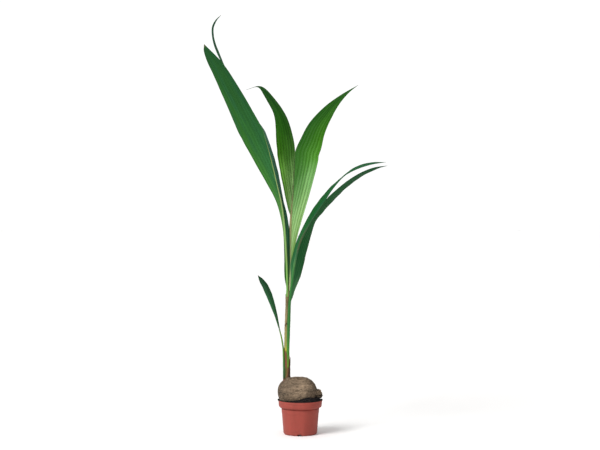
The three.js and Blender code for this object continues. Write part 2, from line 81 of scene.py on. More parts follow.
# Soil: rows of radius and height down its wall, the radius and level of its edge, the level of
# its crown, and rows of x, y, height and spread of its heaps
SOIL_WALL = [(91.6, 133), (88.9, 123), (77.2, 115), (76.2, 92), (70.9, 10.4)]
SOIL_RADIUS = 92
SOIL_EDGE = 143.5
SOIL_CROWN = 156
SOIL_HEAPS = [(80, -8, 20, 25), (36, -50, 14, 34)]

# Crumbs at the rim's two ends: how many at each and how far round they spread, then the radius
# and level at which the soil starts to rise to the rim and where it gets there
RIM_CRUMBS = 60
RIM_SPREAD = 0.13
RIM_SLOPE = [(86, 144), (92, 149.5)]
RIM_END = 96.5
RIM_TOP = 148.4

# Nut in its husk, lying along X, its skin lightest near its middle as painted light and darker
# towards both ends as painted shade, with its frayed end as rows of x, y, z and radius
NUT_CENTRE = Vector((-13, 0, 185))
NUT_LIT_MIDDLE_X = -6
NUT_HALF_LENGTH = 86
NUT_RADIUS = 61.7
NUT_RIDGE = 0.03
NUT_RIDGE_TURN = 0.35
NUT_POWER = 2.63
NUT_LOW_POWER = 5
SPROUT_SPOT = Vector((-70, -12, 235))
TORN_RIM = Vector((-54, -17, 236))
TORN_RIM_RISE = 9
TORN_RIM_REACH = 13
TUFT_BUNDLES = 34
TUFT = [(48, -4, 178, 25), (66, -5, 176, 22), (79, -5, 173.5, 19), (88, -4, 171, 15), (95, -3, 171, 8)]

# Column of leaf sheaths: rows of x, y, z and radius
STEM = [
    (-59, 0, 212, 11), (-59, 0, 240, 14.2), (-58.4, 0, 262, 13), (-57.5, 0, 322, 12),
    (-58.5, 1, 372, 10.4), (-58.5, 2, 430, 9.1), (-57, 2, 500, 8.8), (-55, 2, 570, 8.5),
    (-53.5, 3, 622, 8.2),
]
SCALE_LEAF = [(236, -72, 78), (268, -68, 70), (298, -44, 52), (330, -12, 22)]

# Sheaths: the heights that one spans, its lift off the stem, how far its top stands off and how
# much its top slants, then its two edges in degrees from foot to top
UPPER_SHEATH = {"span": (466, 601, 0.7, 1.0, -8), "angles": [(40, 276), (52, 274), (64, 286)]}
MIDDLE_SHEATH = {"span": (356, 476, 1.1, 1.0, 6), "angles": [(40, 280), (52, 280), (60, 282)]}
LOWER_SHEATH = {"span": (230, 366, 0.6, 0.8, -44), "angles": [(140, 318), (150, 302), (170, 270)]}

# How far a sheath's foot and the scale leaf stand off the stem's skin
SHEATH_TUCK = -0.9
SCALE_LIFT = 1.4
SCALE_WALL = 1.2

# Leaf stalks with their midribs, foot first: rows of x, y, z and radius
SMALL_STALK = [
    (-70, -10.8, 226, 5.4), (-70.9, -9.8, 290, 4.9), (-71.8, -8.6, 330, 4.7), (-74.5, -6.4, 374, 3.6),
    (-82.5, -12, 423, 3.1), (-92.5, -20, 464, 2.4),
]
RIGHT_STALK = [
    (-53.5, -16.9, 292, 3.6), (-53, -15.5, 340, 5.3), (-52.4, -14.1, 388, 6), (-51.3, -13.3, 440, 6.7),
    (-49.4, -12.5, 496, 6.8), (-46.2, -11.3, 570, 5.8), (-40.5, -12.5, 624, 5.4),
    (-34.5, -17.5, 668, 5.2), (-25, -27, 740, 4.8), (-3, -46, 829, 3.6), (31, -74, 900, 2.6),
    (70, -106, 962, 1.7), (108, -140, 1016, 0.9),
]
LEFT_STALK = [
    (-56.4, -1.5, 622.7, 4.9), (-57.8, -1, 704, 4.6), (-62.6, 2, 809, 4.4), (-70, 4, 913, 4.2),
    (-82, 5, 1001, 3.2), (-102, 4, 1088, 2.4), (-129, 0, 1201, 1.6), (-163, -8, 1322, 0.8),
]
CENTRE_STALK = [
    (-47, 4, 622.1, 5.8), (-45.5, 7, 713, 6.2), (-45, 12.5, 822, 5.9), (-41.3, 22, 931, 5.1),
    (-31, 42, 1076, 3), (-23, 68, 1231, 1.4),
]
RIGHT_LEAF_FOOT = 5

# Where a stalk starts inside the stem, below its own foot
RIGHT_ROOT = (-56, -9, 286, 2.4)
LEFT_ROOT = (-55, 1, 600, 4.2)
CENTRE_ROOT = (-51, 3.2, 588, 4.8)

# Free inner margins of the two lobes of each leaf, from the cleft to the tip
LEFT_FRONT_LOBE = [(-209, -14, 1408), (-266, -22, 1505), (-334.5, -30, 1608), (-416, -34, 1692)]
LEFT_BACK_LOBE = [
    (-219, 22, 1403), (-284, 44, 1510), (-339, 56, 1608), (-379, 60, 1697), (-390, 56, 1767),
    (-376, 50, 1805), (-348, 44, 1831),
]
CENTRE_LEFT_LOBE = [
    (-32.5, 82, 1300), (-61, 104, 1390), (-113, 128, 1470), (-174, 146, 1528.5), (-243, 160, 1515),
]
CENTRE_RIGHT_LOBE = [
    (3, 80, 1293), (42, 96, 1364), (106.7, 116, 1433.8), (180.7, 134, 1489.3), (259, 150, 1535),
]
RIGHT_UPPER_LOBE = [
    (138, -170, 1061), (183, -206, 1112), (234, -240, 1140), (291, -270, 1158), (353, -298, 1168),
]
RIGHT_LOWER_LOBE = [
    (150, -178, 1056), (200, -216, 1096), (252, -252, 1127), (304, -284, 1146.5), (358, -312, 1153),
]

# Half blades: rows of the place along the path, the width from the midrib's centre line, and the
# angle in degrees by which the blade turns back from facing the viewer
LEFT_FRONT_WIDTHS = [
    (0, 4, 0), (0.02, 6, 0), (0.06, 10, 0), (0.14, 7.6, 0), (0.22, 6.6, 0), (0.3, 12.8, 0),
    (0.36, 23.5, -2), (0.42, 42.5, -3), (0.5, 69, -4), (0.62, 98, -6), (0.68, 94.5, -8), (0.85, 69, -8),
    (0.93, 49.5, -8), (0.98, 22.5, -8), (1, 0.6, -8),
]
LEFT_BACK_WIDTHS = [
    (0, 5, 8), (0.2, 18, 15), (0.25, 17, 30), (0.3, 23, 64), (0.4, 57, 74), (0.5, 80, 82),
    (0.58, 92, 90), (0.75, 72, 90), (0.87, 42, 79), (0.95, 22, 77), (1, 0.5, 70),
]
CENTRE_LEFT_WIDTHS = [
    (0, 4, -35), (0.31, 6.3, -35), (0.35, 20, -35), (0.4, 40, -35), (0.5, 73.5, -35), (0.6, 94.5, -35),
    (0.7, 73.5, -31), (0.8, 44.5, -27), (0.87, 31.5, -25), (0.91, 23, -24), (0.95, 4, -22),
    (1, 0.5, -20),
]
CENTRE_RIGHT_WIDTHS = [
    (0, 4, -8), (0.1, 7.3, -8), (0.15, 13, -8), (0.2, 23, -8), (0.3, 47.2, -8), (0.45, 81.5, -8),
    (0.55, 101.5, -8), (0.62, 102.5, -8), (0.7, 87.5, -8), (0.8, 60, -8), (0.9, 23, -8),
    (0.95, 8.5, -8), (1, 0.5, -8),
]
RIGHT_UPPER_WIDTHS = [
    (0, 5, 20), (0.1, 5.5, 36), (0.14, 9.5, 38), (0.18, 18.5, 41), (0.205, 21.5, 45), (0.25, 21, 52),
    (0.3, 29, 60), (0.36, 37, 66), (0.45, 41.4, 62.5), (0.55, 43.5, 61.5), (0.63, 40.5, 70),
    (0.7, 35, 79), (0.76, 26, 80), (0.85, 20.5, 56), (0.93, 13, 56), (1, 0.5, 60),
]
RIGHT_LOWER_WIDTHS = [
    (0, 6.5, 20), (0.06, 15.5, 33), (0.15, 43, 40), (0.22, 55, 45), (0.3, 59.5, 51), (0.36, 60, 61),
    (0.43, 63, 73), (0.5, 60, 70), (0.6, 52.5, 60), (0.7, 40.5, 61), (0.8, 33, 60), (0.9, 21, 60),
    (0.95, 10, 60), (1, 0.5, 60),
]
SMALL_BLADE_PATH = [
    (-89.8, -18.6, 455, 2), (-92.5, -20, 464, 1.8), (-104, -27, 512, 1.4), (-119.5, -37, 563, 1),
    (-134, -48, 605, 0.8), (-151, -58, 645, 0.6), (-169, -69, 673, 0.4), (-182, -78, 693, 0.3),
]
SMALL_BLADE_WIDTHS = [
    (0, 2.6, 40), (0.21, 6.6, 40), (0.43, 11.5, 40), (0.62, 14.5, 40), (0.78, 13.6, 40), (0.9, 9, 40),
    (1, 0.5, 40),
]

# Half blades: how far they reach past those widths, how far one bows as a share of its width,
# the most that a pleat's height may be of its own width, and the veins on each pleat
MARGIN = 2.5
BLADE_ARCH = 0.045
STEEPEST_PLEAT = 0.1
VEINS_PER_PLEAT = 5

# Half the width in radians of the groove along a stalk
GROOVE_WIDTH = 0.75

# How finely the pieces are divided
PATH_STEPS = 80
BLADE_COLUMNS = 84
BLADE_STATIONS = 150
STALK_SIDES = 20
STALK_STATIONS = 150

# Floor, lamps and camera, in metres, with the sun's spread in degrees and the sensor in mm
FLOOR_SIZE = 400
SUN_PLACE = (-2, -3, 3)
SUN_WAY = (0.62, 0.62, -0.75)
SUN_SPREAD = 28
KEY_PLACE = (-2.6, -3.0, 2.6)
KEY_TARGET = (0, 0, 0.9)
KEY_SIZE = 1.6
KEY_POWER = 30
CAMERA_SIDE = -0.0013
SENSOR_WIDTH = 36


# Colours and sizes


def linear(shade):
    """A hex colour in sRGB as the linear colour that shaders read. Other values stay."""
    if not isinstance(shade, str):
        return shade
    parts = [int(shade[i : i + 2], 16) / 255 for i in (1, 3, 5)]
    light = [part / 12.92 if part <= 0.04045 else ((part + 0.055) / 1.055) ** 2.4 for part in parts]
    return (*light, 1.0)


def colour(name, description, shade):
    return bpy.props.FloatVectorProperty(
        name=name, description=description, default=linear(shade), size=4, min=0, max=1, subtype="COLOR"
    )


def length(name, description, millimetres):
    return bpy.props.FloatProperty(
        name=name, description=description, default=millimetres * MM, min=0, precision=5, unit="LENGTH"
    )


class PotSettings(bpy.types.PropertyGroup):
    bevel: length("Edge bevel", "Rounding of the cut edges of notches and holes", 0.5)
    plastic: colour("Plastic", "Colour of the moulded pot", "#914239")
    dust: colour("Dust", "Dried soil caught on the pot", "#74493d")


class SoilSettings(bpy.types.PropertyGroup):
    crumbs: bpy.props.IntProperty(
        name="Crumbs", description="Loose crumbs on the surface", default=520, min=0, max=3000
    )
    crumb: length("Crumb size", "Radius of the largest crumbs", 3.4)
    damp: colour("Damp soil", "Colour of the potting mix", "#100e10")
    fibre: colour("Peat fibre", "Lighter bits in the potting mix", "#3a2f27")


class NutSettings(bpy.types.PropertyGroup):
    fibres: bpy.props.IntProperty(
        name="Fibres", description="Loose fibres lying along the husk", default=620, min=0, max=2000
    )
    fibre: length("Fibre radius", "Radius of a loose fibre at its middle", 0.42)
    light: colour("Dry husk", "Weathered parts of the husk", "#958069")
    dark: colour("Shaded husk", "Dark parts of the husk", "#40362c")


class StemSettings(bpy.types.PropertyGroup):
    sheath_wall: length("Sheath thickness", "Thickness of a leaf sheath", 0.8)
    paper: colour("Papery sheath", "Dried sheath that wraps the stem", "#8c7a55")
    red: colour("Red-brown sheath", "Sheath above the nut", "#7a4a30")
    scale: colour("Scale leaf", "Dead scale leaf at the foot", "#40331f")


class LeafSettings(bpy.types.PropertyGroup):
    thickness: length("Blade thickness", "Thickness of a leaf blade", 0.7)
    pleat: length("Pleat width", "Width of one pleat where the blade is widest", 14)
    pleat_depth: length("Pleat depth", "Height of a pleat from furrow to ridge", 2.2)
    stalk: colour("Stalk", "Light green of the left leaf's stalk", "#7c9a54")
    olive_stalk: colour("Olive stalk", "Tan green of the centre leaf's stalk", "#959a62")
    deep_stalk: colour("Deep stalk", "Deep green of the right leaf's stalk", "#256424")
    centre_foot: colour("Centre leaf foot", "Centre leaf near its stalk", "#729c5c")
    centre: colour("Centre leaf", "Centre leaf in its middle", "#2c6010")
    centre_tip: colour("Centre leaf tip", "Centre leaf at its tips", "#1a5010")
    left_foot: colour("Left leaf foot", "Left leaf near its stalk", "#6a9048")
    left: colour("Left leaf", "Left leaf in its middle", "#2a5f20")
    left_tip: colour("Left leaf tip", "Left leaf at its tips", "#194620")
    right_foot: colour("Right leaf foot", "Right leaf near its stalk", "#064a1c")
    right: colour("Right leaf", "Right leaf in its middle", "#0e4a1c")
    right_tip: colour("Right leaf tip", "Right leaf at its tips", "#214c2e")


class StageSettings(bpy.types.PropertyGroup):
    focal: bpy.props.FloatProperty(
        name="Focal length", description="Focal length of the camera", default=76.2, min=1, unit="CAMERA"
    )
    distance: length("Camera distance", "From the pot's axis to the camera", 5530)
    height: length("Camera height", "From the floor to the camera", 909)
    key: bpy.props.FloatProperty(
        name="Key light", description="Strength of the soft key light", default=2.2, min=0
    )
    floor: colour("Floor", "Pale floor", "#fbfaf9")


# Curves


def eased(start, end, start_slope, end_slope, f):
    """The value at share f of a step that has these ends and slopes."""
    start_part = (2 * f**3 - 3 * f**2 + 1) * start + (f**3 - 2 * f**2 + f) * start_slope
    end_part = (3 * f**2 - 2 * f**3) * end + (f**3 - f**2) * end_slope
    return start_part + end_part


def along(rows, u):
    """A smooth curve through rows of numbers, with u from 0 at the first row to 1 at the last."""
    last = len(rows) - 1
    x = min(max(u, 0.0), 1.0) * last
    i = min(int(x), last - 1)
    f = x - i
    result = []
    for k, start in enumerate(rows[i]):
        end = rows[i + 1][k]
        before = rows[i - 1][k] if i > 0 else 2 * start - end
        after = rows[i + 2][k] if i + 2 <= last else 2 * end - start
        result.append(eased(start, end, (end - before) / 2, (after - start) / 2, f))
    return result


def profile(rows, t):
    """The numbers of rows that each start with their own place t, smoothly in between."""
    i = 0
    while i < len(rows) - 2 and rows[i + 1][0] < t:
        i += 1
    start, end = rows[i], rows[i + 1]
    before, after = rows[max(i - 1, 0)], rows[min(i + 2, len(rows) - 1)]
    step = end[0] - start[0]
    f = (t - start[0]) / step
    result = []
    for k in range(1, len(start)):
        start_slope = step * (end[k] - before[k]) / (end[0] - before[0])
        end_slope = step * (after[k] - start[k]) / (after[0] - start[0])
        result.append(eased(start[k], end[k], start_slope, end_slope, f))
    return result


def sampled(rows, first=0.0):
    return [along(rows, first + (1 - first) * i / PATH_STEPS) for i in range(PATH_STEPS + 1)]


def apart(a, b):
    return math.dist(a[:3], b[:3])


def even_rows(rows, count):
    """The same line as count + 1 points an even distance apart."""
    lengths = [0.0]
    for a, b in zip(rows, rows[1:]):
        lengths.append(lengths[-1] + apart(a, b))
    result = []
    i = 1
    for n in range(count + 1):
        want = lengths[-1] * n / count
        while i < len(rows) - 1 and lengths[i] < want:
            i += 1
        f = (want - lengths[i - 1]) / (lengths[i] - lengths[i - 1])
        result.append([mix(a, b, f) for a, b in zip(rows[i - 1], rows[i])])
    return result


def lobe_path(stalk, lobe):
    """The line that a half blade grows from: its midrib to the cleft, then its own inner margin."""
    rib = sampled(stalk)
    below, cleft = rib[-2:]
    stretch = apart(lobe[0], cleft) / apart(below, cleft)
    lead = [value + (low - value) * stretch for low, value in zip(below, cleft)]
    free = [lead, cleft] + [[*point, 0] for point in lobe]
    return rib + sampled(free, 1 / (len(free) - 1))[1:]


class Line:
    """A path with even stations, each with its way ahead, to the viewer's left and to the back."""

    def __init__(self, rows, count=2 * PATH_STEPS):
        self.rows = even_rows(rows, count)
        self.length = sum(apart(a, b) for a, b in zip(self.rows, self.rows[1:]))

    def at(self, t, reach=1):
        """The point at share t and its directions, taken over reach stations before and after."""
        last = len(self.rows) - 1
        x = min(max(t, 0.0), 1.0) * last
        i = min(int(x), last - 1)
        row = [mix(a, b, x - i) for a, b in zip(self.rows[i], self.rows[i + 1])]
        low, high = max(i - reach, 0), min(i + 1 + reach, last)
        ahead = (Vector(self.rows[high][:3]) - Vector(self.rows[low][:3])).normalized()
        left = ahead.cross(BACK).normalized()
        back = (BACK - ahead * ahead.y).normalized()
        return Vector(row[:3]), ahead, left, back, row[3]


def smooth(low, high, x):
    f = min(max((x - low) / (high - low), 0.0), 1.0)
    return f * f * (3 - 2 * f)


def mix(a, b, f):
    return a + (b - a) * f


# Meshes


def start_piece(name, adding, **settings):
    """Adds a primitive with nothing else selected and gives back its object."""
    if bpy.context.object is not None and bpy.context.object.mode != "OBJECT":
        bpy.ops.object.mode_set(mode="OBJECT")
    bpy.ops.object.select_all(action="DESELECT")
    adding(**settings)
    piece = bpy.context.object
    piece.name = piece.data.name = name
    return piece


def add_surface(name, columns, stations, place):
    """A grid whose point at q across and s along goes to place(q, s), which gives its position in
    millimetres, its grain coordinates and its place from foot to tip."""
    squares = {"x_subdivisions": columns, "y_subdivisions": stations}
    piece = start_piece(name, bpy.ops.mesh.primitive_grid_add, size=1, **squares)
    mesh = piece.data
    points, patterns, shares = [], [], []
    for vertex in mesh.vertices:
        point, pattern, share = place(vertex.co.x + 0.5, vertex.co.y + 0.5)
        points += [value * MM for value in point]
        patterns += pattern
        shares.append(share)
    mesh.vertices.foreach_set("co", points)
    mesh.attributes.new("grain", "FLOAT_VECTOR", "POINT").data.foreach_set("vector", patterns)
    mesh.attributes.new("place", "FLOAT", "POINT").data.foreach_set("value", shares)
    mesh.update()
    return piece


def close_tube():
    """Joins the seam of the piece in hand, which was wrapped round, and caps its ends."""
    bpy.ops.object.mode_set(mode="EDIT")
    bpy.ops.mesh.select_mode(type="VERT")
    bpy.ops.mesh.select_all(action="SELECT")
    bpy.ops.mesh.remove_doubles(threshold=2e-6)
    bpy.ops.mesh.select_all(action="DESELECT")
    bpy.ops.mesh.select_non_manifold()
    bpy.ops.mesh.fill_holes(sides=0)
    bpy.ops.mesh.select_all(action="SELECT")
    bpy.ops.mesh.normals_make_consistent(inside=False)
    bpy.ops.object.mode_set(mode="OBJECT")


def extrude_edge(radius, rows):
    """Extrudes the open edge of the piece in hand, which is a circle of that radius, through rows
    of radius and height, and closes it."""
    bpy.ops.object.mode_set(mode="EDIT")
    bpy.ops.mesh.select_mode(type="EDGE")
    bpy.ops.mesh.select_all(action="SELECT")
    bpy.ops.mesh.region_to_loop()
    for wide, height in rows:
        bpy.ops.mesh.extrude_edges_move(TRANSFORM_OT_translate={"value": (0, 0, 0)})
        grow = wide / radius
        bpy.ops.transform.resize(value=(grow, grow, 0), center_override=(0, 0, height * MM))
        radius = wide
    bpy.ops.mesh.edge_face_add()
    bpy.ops.mesh.select_all(action="SELECT")
    bpy.ops.mesh.normals_make_consistent(inside=False)
    bpy.ops.object.mode_set(mode="OBJECT")


def put_on(piece, kind, **settings):
    """Adds a modifier and applies it at once."""
    bpy.context.view_layer.objects.active = piece
    modifier = piece.modifiers.new(kind.title(), kind)
    for name, value in settings.items():
        setattr(modifier, name, value)
    bpy.ops.object.modifier_apply(modifier=modifier.name)


def finish_piece(piece, slot, *nodes, materials=(), angle=None):
    """Shades a piece, gives it its materials, sets it on the body and hides what it replaces."""
    bpy.ops.object.select_all(action="DESELECT")
    piece.select_set(True)
    bpy.context.view_layer.objects.active = piece
    if angle is None:
        bpy.ops.object.shade_smooth()
    else:
        bpy.ops.object.shade_smooth_by_angle(angle=math.radians(angle))
    for material in materials:
        piece.data.materials.append(material)
    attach(piece, "root")
    if nodes:
        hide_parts(*nodes)


def add_strands(name, strands):
    """Tapered fibres: each strand is its radius in metres and its points in millimetres."""
    piece = start_piece(name, bpy.ops.curve.primitive_nurbs_path_add)
    curve = piece.data
    curve.splines.clear()
    curve.dimensions = "3D"
    curve.bevel_depth = 1
    curve.bevel_resolution = 0
    curve.use_fill_caps = True
    for radius, points in strands:
        spline = curve.splines.new("POLY")
        spline.points.add(len(points) - 1)
        for i, point in enumerate(points):
            taper = math.sin(math.pi * mix(0.12, 0.94, i / (len(points) - 1)))
            spline.points[i].co = (*(Vector(point) * MM), 1)
            spline.points[i].radius = radius * (0.25 + 0.75 * taper)
    bpy.ops.object.convert(target="MESH")
    return bpy.context.object


def add_crumbs(name, places):
    """Rough lumps: one small ico sphere copied to each place, radius and seed."""
    piece = start_piece(name, bpy.ops.mesh.primitive_ico_sphere_add, subdivisions=2, radius=1)
    model = piece.data
    corners = [vertex.co.copy() for vertex in model.vertices]
    faces = [list(polygon.vertices) for polygon in model.polygons]
    points, all_faces = [], []
    for centre, radius, seed in places:
        turn = Matrix.Rotation(seed * 1.7, 3, Vector((math.sin(seed), math.cos(seed), 0.4)))
        first = len(points)
        for corner in corners:
            rough = 1 + 0.55 * noise.noise(corner * 1.3 + Vector((seed, 3.1, 0)))
            flat = Vector((corner.x, corner.y, 0.75 * corner.z))
            points.append((Vector(centre) + turn @ flat * radius * rough) * MM)
        all_faces += [[first + i for i in face] for face in faces]
    model.clear_geometry()
    model.from_pydata(points, [], all_faces)
    return piece


# Materials


def scaled(value, factor):
    return (*(min(part * factor, 1.0) for part in value[:3]), 1.0)


def add_node(tree, kind, inputs=(), output=0, stops=(), **settings):
    """Adds a shader node and gives back one of its outputs. inputs are values, colours or links in
    the order of its sockets, or by their names or numbers, and stops are its colour ramp's."""
    made = tree.nodes.new("ShaderNode" + kind)
    for name, value in settings.items():
        setattr(made, name, value)
    for name, value in inputs.items() if isinstance(inputs, dict) else enumerate(inputs):
        if isinstance(value, bpy.types.NodeSocket):
            tree.links.new(value, made.inputs[name])
        else:
            made.inputs[name].default_value = linear(value)
    if stops:
        elements = made.color_ramp.elements
        while len(elements) < len(stops):
            elements.new(1)
        for element, (position, value) in zip(elements, stops):
            element.position = position
            element.color = linear(value)
    return made.outputs[output]


def new_material(name):
    material = bpy.data.materials.new(name)
    material.use_nodes = True
    material.node_tree.nodes.clear()
    return material, material.node_tree


def dress(tree, base, roughness, specular, ior=1.5, height=None, relief=0.0):
    """Ends a material in its shader, with a bump whose full height is relief metres."""
    inputs = {"Base Color": base, "Roughness": roughness, "Specular IOR Level": specular, "IOR": ior}
    if height is not None:
        inputs["Normal"] = add_node(tree, "Bump", {"Strength": 1.0, "Distance": relief, "Height": height})
    shader = add_node(tree, "BsdfPrincipled", inputs)
    surface = tree.nodes.new("ShaderNodeOutputMaterial")
    tree.links.new(shader, surface.inputs["Surface"])


def moulded_polypropylene(plastic, dust):
    """Moulded polypropylene: an even terracotta shade with a soft sheen, faint flow marks round
    the wall and dried soil in specks all over and more of it towards the foot."""
    material, tree = new_material("moulded polypropylene")
    place = add_node(tree, "TexCoord", output="Object")
    height = add_node(tree, "SeparateXYZ", [place], "Z")
    flow = add_node(tree, "Mapping", {"Vector": place, "Scale": (26, 26, 3)})
    marks = add_node(tree, "TexNoise", {"Vector": flow, "Scale": 1.0, "Detail": 3.0})
    ends = [(0.3, scaled(plastic, 0.9)), (0.7, scaled(plastic, 1.08))]
    shades = add_node(tree, "ValToRGB", [marks], stops=ends)
    specks = add_node(tree, "TexNoise", {"Vector": place, "Scale": 90.0, "Detail": 6.0, "Roughness": 0.7})
    low = add_node(tree, "MapRange", {"Value": height, "From Min": 0.03, "From Max": 0.0, "To Max": 0.16})
    grime = add_node(tree, "MapRange", {"Value": specks, "From Min": 0.5, "From Max": 0.75, "To Max": 0.35})
    soiled = add_node(tree, "Math", [low, grime], operation="ADD")
    base = add_node(tree, "Mix", {0: soiled, 6: shades, 7: dust}, 2, data_type="RGBA")
    rough = add_node(tree, "MapRange", {"Value": specks, "To Min": 0.42, "To Max": 0.66})
    grain = add_node(tree, "TexNoise", {"Vector": place, "Scale": 700.0, "Detail": 2.0})
    dress(tree, base, rough, 0.15, 1.49, grain, 0.00008)
    return material


def potting_mix(damp, fibre):
    """Damp peat mix: near black and dull, with lighter fibrous bits a few millimetres across."""
    material, tree = new_material("damp peat mix")
    place = add_node(tree, "TexCoord", output="Object")
    lumps = add_node(tree, "TexNoise", {"Vector": place, "Scale": 120.0, "Detail": 8.0, "Roughness": 0.75})
    bits = add_node(tree, "TexVoronoi", {"Vector": place, "Scale": 260.0}, "Color")
    bit = add_node(tree, "SeparateColor", [bits])
    rare = add_node(tree, "MapRange", {"Value": bit, "From Min": 0.82, "From Max": 0.95, "To Max": 0.7})
    ends = [(0.3, scaled(damp, 0.45)), (0.55, damp), (0.8, scaled(damp, 1.9))]
    ground = add_node(tree, "ValToRGB", [lumps], stops=ends)
    base = add_node(tree, "Mix", {0: rare, 6: ground, 7: fibre}, 2, data_type="RGBA")
    rough = add_node(tree, "MapRange", {"Value": lumps, "To Min": 0.8, "To Max": 1.0})
    dress(tree, base, rough, 0.2, height=lumps, relief=0.0012)
    return material


def coir_husk(light, dark):
    """Dry coir husk: dull grey-brown skin with fibres running end to end every few millimetres,
    in paler and darker patches that are darker where its relief is low, with painted light across
    its middle and painted shade towards both ends."""
    material, tree = new_material("dry coir husk")
    place = add_node(tree, "TexCoord", output="Object")
    swirl = add_node(tree, "TexNoise", {"Vector": place, "Scale": 22.0, "Detail": 2.0}, "Color")
    shift = {0: 0.02, 6: place, 7: swirl}
    bent = add_node(tree, "Mix", shift, 2, data_type="RGBA", blend_type="LINEAR_LIGHT")
    grain = add_node(tree, "Mapping", {"Vector": bent, "Scale": (24, 250, 250)})
    fibres = add_node(tree, "TexNoise", {"Vector": grain, "Scale": 1.0, "Detail": 4.0, "Roughness": 0.6})
    spread = add_node(tree, "Mapping", {"Vector": bent, "Scale": (11, 46, 46)})
    patches = add_node(tree, "TexNoise", {"Vector": spread, "Scale": 1.0, "Detail": 3.0, "Roughness": 0.55})
    both = add_node(tree, "Mix", {0: 0.42, 2: fibres, 3: patches}, data_type="FLOAT")
    # Painted light and shade: the tone is raised near the husk's middle and lowered towards both ends.
    along_x = add_node(tree, "SeparateXYZ", [place], "X")
    away = add_node(tree, "Math", [along_x, NUT_LIT_MIDDLE_X * MM], operation="SUBTRACT")
    reach = add_node(tree, "Math", [away], operation="ABSOLUTE")
    ends = {"Value": reach, "From Min": 0.018, "From Max": 0.08, "To Min": 0.078, "To Max": -0.13}
    tone_and_painted_light = add_node(tree, "Math", [both, add_node(tree, "MapRange", ends)], operation="ADD")
    middle = tuple(mix(a, b, 0.42) for a, b in zip(dark, light))
    wear_and_painted_light = [(0.34, scaled(dark, 0.75)), (0.49, middle), (0.66, light)]
    skin = add_node(tree, "ValToRGB", [tone_and_painted_light], stops=wear_and_painted_light)
    gap = add_node(tree, "VectorMath", [bent, tuple(SPROUT_SPOT * MM)], "Value", operation="DISTANCE")
    near = {"Value": gap, "From Min": 0.006, "From Max": 0.02, "To Min": 0.75, "To Max": 0.0}
    torn = add_node(tree, "MapRange", near)
    base = add_node(tree, "Mix", {0: torn, 6: skin, 7: "#6b4638"}, 2, data_type="RGBA")
    rough = add_node(tree, "MapRange", {"Value": fibres, "To Min": 0.8, "To Max": 1.0})
    dress(tree, base, rough, 0.25, height=both, relief=0.0009)
    return material


def coir_fibre(name, light, dark, damp=1.0):
    """Loose coir: stiff dull fibres, each a little lighter or darker than the next. damp is how much
    of that colour is left low down near the soil, where the fibres are darkened as painted shade."""
    material, tree = new_material(name)
    place = add_node(tree, "TexCoord", output="Object")
    shift = add_node(tree, "TexNoise", {"Vector": place, "Scale": 160.0, "Detail": 3.0})
    mixed = add_node(tree, "ValToRGB", [shift], stops=[(0.35, dark), (0.65, light)])
    height = add_node(tree, "SeparateXYZ", [place], "Z")
    # Painted shade: below about 162 mm the fibres' colour is scaled down to the share damp.
    dry = add_node(tree, "MapRange", {"Value": height, "From Min": 0.162, "From Max": 0.18, "To Min": damp})
    base = add_node(tree, "VectorMath", {0: mixed, "Scale": dry}, operation="SCALE")
    rough = add_node(tree, "MapRange", {"Value": shift, "To Min": 0.75, "To Max": 1.0})
    dress(tree, base, rough, 0.25, height=shift, relief=0.0003)
    return material


def plant_skin(name, shades, vein, streak, roughness, relief, flank=None):
    """Skin of a stalk or sheath: colours from foot to tip with lengthwise veins every millimetre or
    two. shades are stops along the piece's place, streak is how strongly the veins show, and flank
    is the colour of its side at the viewer's left, where that begins, where it is full and the
    place at which it ends."""
    material, tree = new_material(name)
    grain = add_node(tree, "Attribute", output="Vector", attribute_name="grain")
    place = add_node(tree, "Attribute", output="Fac", attribute_name="place")
    fine = add_node(tree, "Mapping", {"Vector": grain, "Scale": (0.55, 0.55, 0.012)})
    streaks = add_node(tree, "TexNoise", {"Vector": fine, "Scale": 1.0, "Detail": 4.0, "Roughness": 0.65})
    clouds = add_node(tree, "Mapping", {"Vector": grain, "Scale": (0.12, 0.12, 0.03)})
    drift = add_node(tree, "TexNoise", {"Vector": clouds, "Scale": 1.0, "Detail": 3.0})
    moved = add_node(tree, "MapRange", {"Value": drift, "To Min": -0.04, "To Max": 0.04})
    where = add_node(tree, "Math", [place, moved], operation="ADD")
    ground = add_node(tree, "ValToRGB", [where], stops=shades)
    if flank is not None:
        side, begins, full, ends = flank
        across = add_node(tree, "SeparateXYZ", [grain], "X")
        turned = add_node(tree, "MapRange", {"Value": across, "From Min": begins, "From Max": full})
        low = {"Value": where, "From Min": ends - 0.1, "From Max": ends, "To Min": 1.0, "To Max": 0.0}
        share = add_node(tree, "Math", [turned, add_node(tree, "MapRange", low)], operation="MULTIPLY")
        ground = add_node(tree, "Mix", {0: share, 6: ground, 7: side}, 2, data_type="RGBA")
    shown = {"Value": streaks, "From Min": 0.48, "From Max": 0.66, "To Max": streak}
    amount = add_node(tree, "MapRange", shown)
    base = add_node(tree, "Mix", {0: amount, 6: ground, 7: vein}, 2, data_type="RGBA")
    dull = {"Value": streaks, "To Min": roughness - 0.08, "To Max": roughness + 0.12}
    dress(tree, base, add_node(tree, "MapRange", dull), 0.25, height=streaks, relief=relief)
    return material


